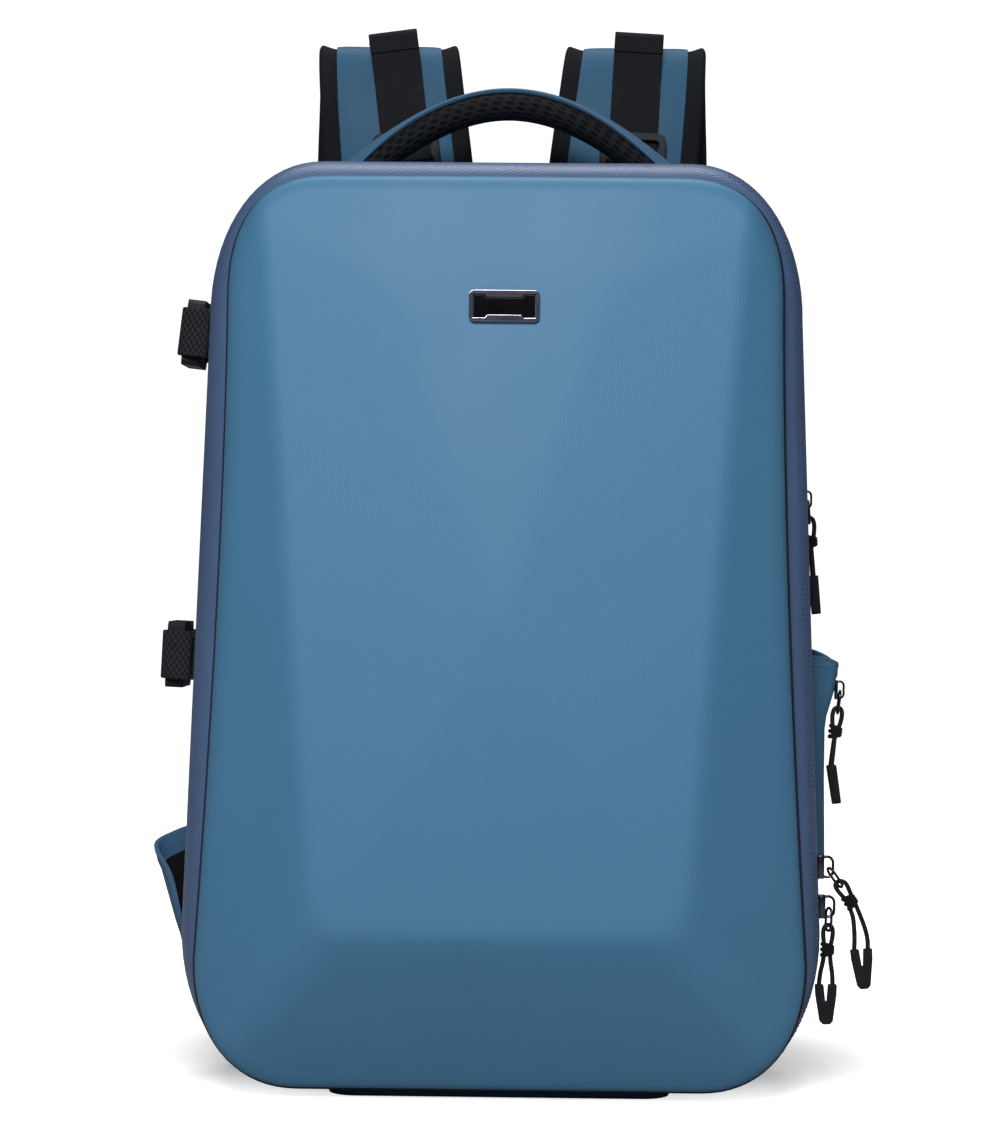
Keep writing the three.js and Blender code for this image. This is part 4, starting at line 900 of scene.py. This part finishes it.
# How the webbing runs through the lock: up, and out to the front.
ANCHOR_LOOP = [
    (-0.0174, -0.0034), (-0.0098, -0.0034), (-0.0081, -0.0029), (-0.0076, -0.0012),
    (-0.0076, 0.0012), (-0.0081, 0.0029), (-0.0098, 0.0034), (-0.0156, 0.0034),
]
LIFTER_TAIL = [
    (-0.0034, 0.0034), (0.0012, 0.0034), (0.0032, 0.0026),
    (0.0078, -0.0026), (0.01, -0.0034), (0.014, -0.0034),
]
# Where the webbing lies along the strap, how it folds over at the crest, and how its end is turned down.
LIFTER_SHARES, CREST_BACK = (0.2, 0.235, 0.262), 0.0022
LIFTER_FOLD = [(0, 0, 0), (0, 0.0024, -0.0012), (0, 0.0046, -0.0054)]
FLAP_FALLS, FLAP_GAP, FLAP_WIDER = (0.0008, 0.004, 0.007, 0.0095), 0.0002, 0.0003
# Fuzz and rubbed patches in a metre, how far the fuzz darkens, and how far rubbing changes the roughness.
WEB_FUZZ, RUBBED_PATCHES, FUZZ_SHADE, RUBBED_SPREAD = 700.0, 120.0, 0.5, 0.2


def swept(name, line, across, section, joined=False):
    """Carries a section along a line, with the section's width along one direction."""
    line = np.asarray(line)
    count = len(line)
    rings = []
    for i, place in enumerate(line):
        after = line[(i + 1) % count] if joined else line[min(i + 1, count - 1)]
        along = after - (line[i - 1] if joined or i else line[0])
        along /= np.linalg.norm(along)
        side = np.asarray(across, float) - along * np.dot(across, along)
        side /= np.linalg.norm(side)
        face = np.cross(along, side)
        rings.append([place + side * a + face * b for a, b in section])
    return skin(name, rings, joined)


def smooth_path(points, steps):
    """Places along the smooth curve through the points, with some steps to each span."""
    total = (len(points) - 1) * steps
    return [smooth_line(points, k / total) for k in range(total + 1)]


def ribbon(name, points, across, width, thick, steps=5):
    """Webbing along a smooth line through the points, with its width along one direction."""
    half, edge = thick / 2, width / 2 - thick / 2
    section = [(a * edge, -half) for a in np.linspace(-1, 1, 9)]
    section += [(edge + half * math.cos(t), half * math.sin(t)) for t in np.radians((-45, 0, 45))]
    section += [(-a, -b) for a, b in section]
    return swept(name, smooth_path(points, steps), across, section)


def webbing_cloth(name, pale, deep, rib=0.0016, thread=0.0011, depth=0.0003):
    """Ribbed webbing: rows of thick crossed threads, lighter where they rise."""
    made, tree, shader, places = new_material(name)
    stretched = mapped(tree, places.outputs["UV"], Scale=(1, rib / thread, 1))
    threads = put_group(tree, weave, Place=stretched, Thread=rib / 2)
    fuzz = put_group(tree, handling, Place=places.outputs["Object"], Patch=WEB_FUZZ)
    shade = mixed(tree, threads, deep, pale)
    give(tree, shader, {
        "Base Color": mixed(tree, ranged(tree, fuzz, 0, FUZZ_SHADE), shade, deep), "Roughness": 0.75,
        "Specular IOR Level": 0.15, "Normal": raised(tree, threads, depth)})
    return made


def hard_finish(
        name, pale, deep, rough, metallic=0.0, grain=900.0, depth=0.00003, gloss=0.3, edge=(1, 1, 1, 1)):
    """A hard moulded or plated surface: a fine grain, and patches that are rubbed a little smoother."""
    made, tree, shader, places = new_material(name)
    rubbed = put_group(tree, handling, Place=places.outputs["Object"], Patch=RUBBED_PATCHES)
    fine = put_group(tree, handling, Place=places.outputs["Object"], Patch=grain)
    give(tree, shader, {
        "Base Color": mixed(tree, rubbed, deep, pale), "Metallic": metallic, "Specular IOR Level": gloss,
        "Roughness": ranged(tree, rubbed, rough * (1 - RUBBED_SPREAD), rough * (1 + RUBBED_SPREAD)),
        "Specular Tint": edge, "Normal": raised(tree, fine, depth)})
    return made


black_web = webbing_cloth("black_webbing", srgb(40, 41, 46), srgb(18, 19, 22))
black_plastic = hard_finish("black_plastic", srgb(26, 28, 33), srgb(17, 18, 22), 0.52, gloss=0.2)
for hand, (lock_x, crest_x) in LIFTER_PLACES.items():
    lean = math.atan2(crest_x - lock_x, LIFTER_HEIGHT)
    lock_frame = Matrix.Translation((lock_x, LIFTER_Y, LIFTER_Z)) @ Matrix.Rotation(math.pi / 2, 4, "X")
    lock_frame = lock_frame @ Matrix.Rotation(-lean, 4, "Z")
    wide = lock_frame.to_3x3() @ Vector((1, 0, 0))
    tail = [np.array(lock_frame @ Vector((0, up, front))) for up, front in LIFTER_TAIL]
    loop = [np.array(lock_frame @ Vector((0, up, front))) for up, front in ANCHOR_LOOP]
    on_strap = []
    for share in LIFTER_SHARES:
        middle, out, side, width = strap_frame(share)
        place = middle + out * (STRAP_HALF + SEAM_GAP + STRAP_COVER + WEB_GAP + WEB_THICK / 2)
        place[0] = lock_x + (place[2] - LIFTER_Z) * math.tan(lean)
        on_strap.append(place)
    peak = np.array((crest_x, on_strap[2][1] + CREST_BACK, LIFTER_TAB))
    fold = [peak + step for step in LIFTER_FOLD]
    lifter = ribbon(f"lifter_web_{hand}", tail + on_strap + fold, wide, WEB_WIDTH, WEB_THICK)
    anchor = ribbon(f"lifter_loop_{hand}", loop, wide, WEB_WIDTH, WEB_THICK)
    # The end is turned down in front and sewn, so a short flap shows above the strap.
    down = (on_strap[2] - peak) / np.linalg.norm(on_strap[2] - peak)
    front = np.array((0, -WEB_THICK - FLAP_GAP, 0))
    turned = [peak + front * 0.5 - down * FLAP_FALLS[0]]
    turned += [peak + front + down * fall for fall in FLAP_FALLS]
    flap = ribbon(f"lifter_flap_{hand}", turned, wide, WEB_WIDTH + FLAP_WIDER, WEB_THICK)
    if hand == "left":
        for piece in (lifter, anchor, flap):
            mirrored(piece)
    fix(flap, black_web, "black_webbing")
    fix(lifter, black_web, "black_webbing", f"lifter_webbing_{hand}")
    fix(anchor, black_web, "black_webbing", f"lifter_anchor_{hand}")
    moulded(f"lifter_lock_{hand}", f"lifter_buckle_{hand}", MOULD_EDGE, black_plastic, "black_plastic")

# Strap adjusters
# A plastic ladder lock at each strap's free end, with webbing down to a triangular tab of blue laminate. The
# tab is sewn at the bag's lower corner.
ADJUSTER_TIP, ADJUSTER_LEAN, ADJUSTER_DROP = math.pi / 2 + 0.2, 0.6, 0.0145
TAB_X, TAB_Z, TAB_FACE = 0.122, 0.044, 0.08335
ADJUSTER_TAIL = [
    (0.0034, -0.0034), (-0.0012, -0.0034), (-0.0032, -0.0026),
    (-0.0078, 0.0026), (-0.01, 0.0034), (-0.015, 0.0034),
]
ADJUSTER_FALL = [(0.105, 0.106, 0.13), (0.113, 0.096, 0.088)]
ADJUSTER_SEAT = [(0.119, TAB_FACE + 0.0026, 0.058), (0.1215, TAB_FACE + 0.0015, 0.038)]
strap_end = strap_frame(1)[0]
fall_lean = math.atan2(TAB_X - strap_end[0], strap_end[2] - TAB_Z) * ADJUSTER_LEAN
fall_frame = Matrix.Translation(strap_end) @ Matrix.Rotation(ADJUSTER_TIP, 4, "X")
fall_frame = fall_frame @ Matrix.Rotation(fall_lean, 4, "Z")
fall_wide = fall_frame.to_3x3() @ Vector((1, 0, 0))
fall_tail = [np.array(fall_frame @ Vector((0, up - ADJUSTER_DROP, front))) for up, front in ADJUSTER_TAIL]
fall_line = fall_tail + [np.array(place) for place in ADJUSTER_FALL + ADJUSTER_SEAT]
for hand in ("left", "right"):
    fall = ribbon(f"adjuster_web_{hand}", fall_line, fall_wide, WEB_WIDTH, WEB_THICK)
    if hand == "left":
        mirrored(fall)
    fix(fall, black_web, "black_webbing", f"adjuster_webbing_{hand}")
    moulded(f"adjuster_lock_{hand}", f"adjuster_buckle_{hand}", MOULD_EDGE, black_plastic, "black_plastic")
    moulded(f"corner_tab_{hand}", f"base_tab_{hand}", MOULD_EDGE, wall_cloth, "blue_laminate")

# Name plate
# A small plated metal frame round a bare, glossy black plate. Both lie flat on the brow of the shell, and are
# pinned through it.
PLATE_EDGE = 0.0003
frame_metal = hard_finish(
    "frame_metal", srgb(176, 172, 192), srgb(158, 154, 174), 0.06, 1.0, 1500.0, 0.000001, 0.5)
gloss_plate = hard_finish("bare_plate", srgb(8, 8, 10), srgb(5, 5, 7), 0.07, 0.0, 600.0, 0.000002, 0.2)
moulded("plate_frame", "badge_frame", MOULD_EDGE, frame_metal, "gunmetal", 4)
moulded("bare_plate", "badge_plate", PLATE_EDGE, gloss_plate, "gloss_black")

# Side pockets
# Two pockets of blue laminate, sewn to the side wall and open at the top, each with a folded hem that
# is stitched twice. The one for a tripod's feet has a sloping mouth, low at the front.
POCKET_FRONT, POCKET_REAR, POCKET_WALL, POCKET_LEAST = 0.005, 0.059, 0.002, 0.00005
POCKET_HEM, HEM_PROUD, HEM_STEP = 0.007, 0.0005, 0.01
# How far each pocket stands out from the side wall, by height.
FOOT_ROWS = [(0.062, 0.003), (0.068, 0.011), (0.082, 0.0158), (0.132, 0.0325)]
FLASK_ROWS = [(0.1, 0.0025), (0.118, 0.008), (0.16, 0.0088), (0.188, 0.01), (0.205, 0.0155), (0.226, 0.0184)]
# From a pocket's front edge to its rear one: the share of that standing out, and the height of the mouth.
FOOT_ROUND = [
    (0, 0, 0.074), (0.03, 0.25, 0.077), (0.15, 0.5, 0.086), (0.4, 0.7, 0.104),
    (0.8, 1, 0.118), (0.95, 0.62, 0.125), (1, 0, 0.131),
]
FLASK_ROUND = [
    (0, 0, 0.2225), (0.03, 0.6, 0.2215), (0.14, 1, 0.2185), (0.5, 1.06, 0.2175),
    (0.86, 1, 0.2205), (0.97, 0.6, 0.224), (1, 0, 0.226),
]


def half_width(row, z):
    """Half of an outline's width at a height."""
    top_z, low_z = row["top"] - row["top_z"], row["bottom"] + row["bottom_z"]
    for end, past in (("bottom", low_z - z), ("top", z - top_z)):
        if past > 0:
            share, power = past / row[f"{end}_z"], row[f"{end}_power"]
            return row[f"side_{end}"] - row[f"{end}_x"] * (1 - (1 - share ** power) ** (1 / power))
    down = (top_z - z) / (top_z - low_z)
    return row["side_top"] + (row["side_bottom"] - row["side_top"]) * down ** row["flare"]


def side_x(y, z):
    """How far the side wall stands out from the middle, at a depth and a height."""
    return half_width(between(SEAM, BACK, (y - SEAM["y"]) / (BACK["y"] - SEAM["y"])), z)


def pocket_place(side, rows, column, up, inset=0.0, proud=0.0):
    """A place on a pocket: on a column between its front and rear, and up from its foot to its mouth."""
    across, out, mouth = column
    z = rows[0][0] + (mouth - rows[0][0]) * up
    stand = np.interp(z, *zip(*rows)) * out - inset
    y = POCKET_FRONT + inset + (POCKET_REAR - POCKET_FRONT - 2 * inset) * across
    return np.array((side * (side_x(y, z) + SEAM_GAP + max(POCKET_LEAST * out, stand) + proud * out), y, z))


def pocket_column(round_about, share):
    """A pocket's column at a share of the way round it."""
    return np.clip(smooth_line(round_about, share), (0, 0, 0), (1, 2, 1))


def pocket(name, side, rows, round_about):
    """A wall of cloth that is open at the top, where its folded hem makes it thicker."""
    rings = []
    for share in np.linspace(0, 1, 49):
        column = pocket_column(round_about, share)
        tall = column[2] - rows[0][0]
        hem = 1 - POCKET_HEM / max(tall, 2 * POCKET_HEM)
        ups = np.concatenate([np.linspace(0, hem - HEM_STEP, 18), np.linspace(hem, 1, 7)])
        outer = [pocket_place(side, rows, column, up, 0, HEM_PROUD * (up >= hem)) for up in ups]
        inner = [pocket_place(side, rows, column, up, POCKET_WALL) for up in ups[::-1]]
        rings.append(outer + inner)
    return skin(name, rings)


# How far under the mouth each row of stitches lies, and the dark lining that also paints the shade deep in
# the pocket, and a hem stitch's length, width, height and spacing.
HEM_ROWS, SHADED_LINING_DEPTH, HEM_STITCH, HEM_SPACING = (0.0016, 0.0058), 0.0095, (0.0024, 0.0007, 0.0006), 0.0032
# From where to where along the hem it is stitched, and how far under the stitches its slope is measured.
SEWN_FROM, SEWN_TO, JUST_UNDER = 0.05, 0.95, 0.001


def stitch_row(name, line, out, thread):
    """Sewn stitches along a line on cloth, as one mesh. The way out points away from the cloth."""
    reach = np.concatenate([[0], np.linalg.norm(np.diff(line, axis=0), axis=1).cumsum()])
    at = np.arange(HEM_SPACING / 2, reach[-1], HEM_SPACING)
    spots, ups = [
        np.stack([np.interp(at, reach, values[:, k]) for k in range(3)], axis=1) for values in (line, out)]
    along = np.gradient(spots, axis=0)
    along /= np.linalg.norm(along, axis=1)[:, None]
    ups -= along * (ups * along).sum(axis=1)[:, None]
    ups /= np.linalg.norm(ups, axis=1)[:, None]
    fix(copies(name, bead(*HEM_STITCH), spots, along, ups), thread, "dark_navy")


def hem_stitches(name, side, rows, round_about, below, inside):
    """A row of stitches along a pocket's hem, on its outer or its inner face."""
    inset, proud = (POCKET_WALL, 0) if inside else (0, HEM_PROUD)
    line, lower = [], []
    for share in np.linspace(SEWN_FROM, SEWN_TO, 80):
        column = pocket_column(round_about, share)
        for places, drop in ((line, below), (lower, below + JUST_UNDER)):
            places.append(pocket_place(side, rows, column, 1 - drop / (column[2] - rows[0][0]), inset, proud))
    line, lower = np.array(line), np.array(lower)
    out = np.cross(np.gradient(line, axis=0), line - lower)
    out *= np.sign((out[:, 0] * side).sum()) * (-1 if inside else 1)
    stitch_row(name, line, out, stitch_thread)


def line_and_shade_inside(piece, side, round_about):
    """Puts a dark lining, which is also painted shade, on the inner faces some way below the mouth."""
    piece.data.materials.append(shade_lining)
    table = np.array(round_about)
    for face in piece.data.polygons:
        across = (face.center.y - POCKET_FRONT) / (POCKET_REAR - POCKET_FRONT)
        deep = face.center.z < np.interp(across, table[:, 0], table[:, 2]) - SHADED_LINING_DEPTH
        if deep and face.normal.x * side < 0:
            face.material_index = 1


stitch_thread = cloth("stitch_thread", srgb(70, 102, 128), srgb(50, 80, 104), 0.55, 0.0004, 0.00003, "Object")
# The pockets' dark lining, which also paints the shade deep inside them.
shade_lining = cloth("pocket_lining_and_painted_shade", srgb(26, 25, 26), srgb(15, 15, 17), 0.8, 0.001, 0.0001, "Object", 0.1)
flask_cloth = cloth("flask_laminate", srgb(66, 110, 141), srgb(58, 99, 129), 0.6, 0.0008, 0.00005)
for name, node, side, rows, round_about, fabric in (
        ("foot_pocket", "tripod_pocket", -1, FOOT_ROWS, FOOT_ROUND, wall_cloth),
        ("flask_pocket", "side_pocket", 1, FLASK_ROWS, FLASK_ROUND, flask_cloth)):
    made = pocket(name, side, rows, round_about)
    fix(made, fabric, "blue_laminate", node)
    # Painted shade: the inner faces deep in the pocket get the dark lining.
    line_and_shade_inside(made, side, round_about)
    for k, below in enumerate(HEM_ROWS):
        hem_stitches(f"{name}_stitches_out_{k}", side, rows, round_about, below, False)
        hem_stitches(f"{name}_stitches_in_{k}", side, rows, round_about, below, True)

# Tripod straps
# Two straps on the left side, each of coarse webbing that is sewn to the wall at both ends and looped through
# the two halves of a plastic side-release buckle.
# Each strap's height, its tilt in degrees, and how far out its sewn ends and its loops are moved.
TRIPOD_STRAPS = [("upper", 0.384, 6.5, 0.0009, 0.0012), ("lower", 0.2185, 2.5, 0, 0.003)]
BUCKLE_FRONT, BUCKLE_REAR, TRIPOD_WEB, CLIP_EDGE = 0.0125, 0.0535, 0.025, 0.001
# How the webbing runs: in towards the buckle's middle, and out from the wall.
TRIPOD_LOOP = [
    (-0.0115, 0.0013), (-0.0085, 0.0015), (-0.005, 0.0046), (-0.0015, 0.0074), (0.0024, 0.0079),
    (0.0046, 0.0086), (0.0053, 0.011), (0.0053, 0.0172), (0.0048, 0.0193), (0.003, 0.0201),
    (0.0005, 0.0202), (-0.0014, 0.019), (-0.0054, 0.0134), (-0.0086, 0.0076), (-0.0106, 0.005),
]
coarse_web = webbing_cloth("coarse_webbing", srgb(58, 60, 66), srgb(15, 16, 19), 0.0042, 0.0036)
for name, z, tilt, seat, lift in TRIPOD_STRAPS:
    middle = side_x((BUCKLE_FRONT + BUCKLE_REAR) / 2, z)
    hung = Matrix.Translation((-middle, 0, z)) @ Matrix.Rotation(math.radians(tilt), 4, "Y")
    wide = hung.to_3x3() @ Vector((0, 0, 1))
    for end, edge, inward in (("front", BUCKLE_FRONT, 1), ("rear", BUCKLE_REAR, -1)):
        loop = []
        for k, (into, out) in enumerate(TRIPOD_LOOP):
            y = edge + inward * into
            more = side_x(y, z) - middle + seat if k < 2 else min(1, (k - 1) / 2) * lift
            loop.append(np.array(hung @ Vector((-out - more, y, 0))))
        web = ribbon(f"tripod_web_{end}_{name}", loop, wide, TRIPOD_WEB, WEB_THICK, 4)
        fix(web, coarse_web, "black_webbing", f"tripod_webbing_{end}_{name}")
    for half in ("prongs", "socket"):
        moulded(f"clip_{half}_{name}", f"buckle_{half}_{name}", CLIP_EDGE, black_plastic, "black_plastic")

# Side zip
# A short zip in the right side wall, on a narrow tape of black webbing that is sewn down along both of its
# edges.
SIDE_ZIP_Y, SIDE_ZIP_LOW, SIDE_ZIP_HIGH, SIDE_ZIP_WIDTH, SIDE_ZIP_THICK = 0.018, 0.267, 0.385, 0.006, 0.0018
SIDE_ZIP_GAP = SEAM_GAP + 0.00015
zip_line = []
for z in np.linspace(SIDE_ZIP_LOW, SIDE_ZIP_HIGH, 12):
    zip_x = side_x(SIDE_ZIP_Y, z) + SIDE_ZIP_GAP + SIDE_ZIP_THICK / 2
    zip_line.append(np.array((zip_x, SIDE_ZIP_Y, z)))
side_zip = ribbon("side_zip_tape", zip_line, (0, 1, 0), SIDE_ZIP_WIDTH, SIDE_ZIP_THICK)
fix(side_zip, black_web, "black_webbing", "side_zip")

# Zip pulls
# Plated sliders on the zips, each with a wire ring that a doubled black cord is hitched to. The cord is
# knotted under the ring, and its two ends are held in a moulded plastic grip.
CORD_RADIUS, TWIST_START, TWIST_END = 0.0012, 0.017, 0.027
KNOT_RADIUS, KNOT_PITCH, KNOT_TWIST, KNOT_SHAPE = 0.0021, 0.0021, 0.25, (1.15, 0.85, 1)
RING_LENGTH, RING_WIDTH, RING_WIRE = 0.013, 0.008, 0.0007
# The two sizes of slider: length, plate, height, wire, and how far the plate reaches in to the teeth.
SLIDER, SMALL_SLIDER = (0.012, 0.0022, 0.0074, 0.0015, 0.0012), (0.01, 0.0014, 0.005, 0.0012, 0.0003)
SLIDER_WIDTH, SLIDER_ROUND, SLIDER_RAISE, BRIDGE_GAP = 0.0042, 0.0006, 0.0003, 0.0002
# The cords' routes out of the grip, up through the ring and back: how far out and down from the bridge.
HANGING = [
    (-0.0034, 0.0415), (-0.0034, 0.0386), (-0.0029, 0.033), (-0.002, 0.028), (-0.0015, 0.0235),
    (-0.0015, 0.02), (-0.0021, 0.0165), (-0.0024, 0.0125), (-0.0017, 0.0099), (0, 0.009),
    (0.0017, 0.0099), (0.0024, 0.0125), (0.0021, 0.0165), (0.0015, 0.02), (0.0015, 0.0235),
    (0.002, 0.028), (0.0029, 0.033), (0.0034, 0.0386), (0.0034, 0.0415),
]
LEANING = [
    (0.0136, 0.0435), (0.0136, 0.0406), (0.0137, 0.036), (0.0135, 0.0314), (0.0128, 0.0252),
    (0.0112, 0.0204), (0.0092, 0.0167), (0.0074, 0.0144), (0.0048, 0.0113), (0.0038, 0.0087),
    (0.005, 0.0071), (0.0073, 0.0069), (0.0092, 0.0082), (0.011, 0.0118), (0.0123, 0.0149),
    (0.0142, 0.0188), (0.0164, 0.024), (0.0189, 0.0306), (0.0202, 0.036), (0.0204, 0.0406),
    (0.0204, 0.0435),
]
# Where the knot lies on each route, out and down, and its lean in degrees.
HANGING_KNOT, LEANING_KNOT = (0, 0.0215, 0), (0.0114, 0.017, 33)
SIDE_PULL_Z, POCKET_PULL_Z, UPPER_PULL_Z, LOWER_PULL_Z = 0.302, 0.204, 0.116, 0.096
side_face = side_x(SIDE_ZIP_Y, SIDE_PULL_Z) + SIDE_ZIP_GAP + SIDE_ZIP_THICK
flask_bulge = np.interp(POCKET_PULL_Z, *zip(*FLASK_ROWS)) * FLASK_ROUND[3][1]
flask_face = side_x(SIDE_ZIP_Y, POCKET_PULL_Z) + SEAM_GAP + flask_bulge
upper_face, lower_face = [half_width(BELLY, z) + COIL_PROUD for z in (UPPER_PULL_Z, LOWER_PULL_Z)]
# Where each pull hangs: its slider's size, its place, the ring's lean and roll and the cord's swing in
# degrees, the cord's route, whether it twists to lie flat, and its knot.
PULLS = {
    "side": (SMALL_SLIDER, (side_face, SIDE_ZIP_Y, SIDE_PULL_Z), 4.5, 0, 4.5, HANGING, True, HANGING_KNOT),
    "pocket": (
        SMALL_SLIDER, (flask_face, SIDE_ZIP_Y, POCKET_PULL_Z), -6.4, 0, -6.4, HANGING, True, HANGING_KNOT),
    "main_upper": (SLIDER, (upper_face, BELLY["y"], UPPER_PULL_Z), 35, 20, 0, LEANING, False, LEANING_KNOT),
    "main_lower": (SLIDER, (lower_face, BELLY["y"], LOWER_PULL_Z), -2, 20, -2, HANGING, False, HANGING_KNOT),
}


def tube(name, line, radius, across, joined=False):
    """A round wire or cord along a line."""
    turns = [2 * math.pi * k / 10 for k in range(10)]
    section = [(radius * math.cos(t), radius * math.sin(t)) for t in turns]
    return swept(name, line, across, section, joined)


def slider(name, foot, size):
    """A slider's rounded body on the zip, with a wire bridge that stands out from it."""
    length, plate, height, wire, seat = size
    half = [
        (plate * 0.5, length * 0.4), (height * 0.6, length * 0.42),
        (height * 0.86, length * 0.29), (height - wire / 2, 0),
    ]
    arch = half + [(out, -up) for out, up in half[2::-1]]
    line = [np.array(foot) + (out, 0, up) for out, up in smooth_path(arch, 4)]
    made = tube(name, line, wire / 2, (0, 1, 0))
    bpy.ops.mesh.primitive_cube_add(size=1, location=(foot[0] + (plate - seat) / 2, foot[1], foot[2]))
    body = bpy.context.object
    body.scale = (plate + seat, SLIDER_WIDTH, length)
    bpy.ops.object.transform_apply()
    add_modifier(body, "BEVEL", width=SLIDER_ROUND, segments=3)
    bpy.ops.object.shade_smooth_by_angle(angle=MOULD_SHARP)
    made.select_set(True)
    bpy.context.view_layer.objects.active = made
    bpy.ops.object.join()
    return made


def hung_place(out, down, flat):
    """A place on a cord's route. A flat cord twists by a quarter turn as it passes the knot."""
    share = min(1, max(0, (down - TWIST_START) / (TWIST_END - TWIST_START))) if flat else 0
    turn = math.pi / 2 * share * share * (3 - 2 * share)
    return Vector((out * math.cos(turn), out * math.sin(turn), -down))


black_cord = cloth("braided_cord", srgb(34, 35, 40), srgb(16, 17, 20), 0.7, 0.0007, 0.00015)
black_nickel = hard_finish(
    "black_nickel", srgb(88, 88, 97), srgb(68, 68, 76), 0.22, 1.0, 1500.0, 0.000003, 0.5, srgb(170, 170, 178))
for name, (size, (face, y, z), lean, roll, swing, route, flat, knot_place) in PULLS.items():
    plate, height, wire = size[1:4]
    opening = (plate + BRIDGE_GAP + height - wire) / 2
    bridge = Matrix.Translation((face + SEAM_GAP + opening, y, z))
    ring_frame = bridge @ Matrix.Rotation(-math.radians(lean), 4, "Y")
    ring_frame = ring_frame @ Matrix.Rotation(math.radians(roll), 4, "Z")
    cord_frame = bridge @ Matrix.Rotation(-math.radians(swing), 4, "Y")
    turn_radius, straight = RING_WIDTH / 2 - RING_WIRE, RING_LENGTH - RING_WIDTH
    ring_line = []
    for end in (0, 1):
        for turn in np.linspace(0, math.pi, 13):
            middle = -RING_WIRE / 2 - turn_radius - end * straight
            around = turn + math.pi * end
            place = Vector((0, turn_radius * math.cos(around), middle + turn_radius * math.sin(around)))
            ring_line.append(np.array(ring_frame @ place))
    ring_side = np.array(ring_frame.to_3x3() @ Vector((1, 0, 0)))
    ring = tube(f"wire_ring_{name}", ring_line, RING_WIRE, ring_side, joined=True)
    fix(ring, black_nickel, "gunmetal", f"pull_ring_{name}")
    body = slider(f"slider_{name}", (face + SEAM_GAP, y, z + SLIDER_RAISE), size)
    fix(body, black_nickel, "gunmetal", f"zip_slider_{name}")
    line = [np.array(cord_frame @ hung_place(out, down, flat)) for out, down in smooth_path(route, 4)]
    cord = tube(f"cord_{name}", line, CORD_RADIUS, (0, 1, 0))
    fix(cord, black_cord, "black_cord", f"pull_cord_{name}")
    knot_out, knot_down, knot_lean = knot_place
    knot_frame = cord_frame @ Matrix.Translation((knot_out, 0, -knot_down))
    knot_frame = knot_frame @ Matrix.Rotation(-math.radians(knot_lean), 4, "Y")
    bpy.ops.object.select_all(action="DESELECT")
    wraps = []
    for step in (-1, 0, 1):
        wrapped = knot_frame @ Matrix.Translation((0, 0, KNOT_PITCH * step))
        wrapped = wrapped @ Matrix.Rotation(KNOT_TWIST * step, 4, "Y")
        bpy.ops.mesh.primitive_torus_add(
            major_radius=KNOT_RADIUS, minor_radius=CORD_RADIUS, major_segments=20, minor_segments=10,
            location=wrapped.translation, rotation=wrapped.to_euler())
        bpy.context.object.scale = KNOT_SHAPE
        wraps.append(bpy.context.object)
    for wrap in wraps:
        wrap.select_set(True)
    bpy.ops.object.join()
    knot = bpy.context.object
    knot.name = f"cord_knot_{name}"
    bpy.ops.object.transform_apply()
    bpy.ops.object.shade_smooth()
    fix(knot, black_cord, "black_cord")
    grip_end = moulded(f"cord_grip_{name}", f"cord_end_{name}", MOULD_EDGE, black_plastic, "black_plastic")
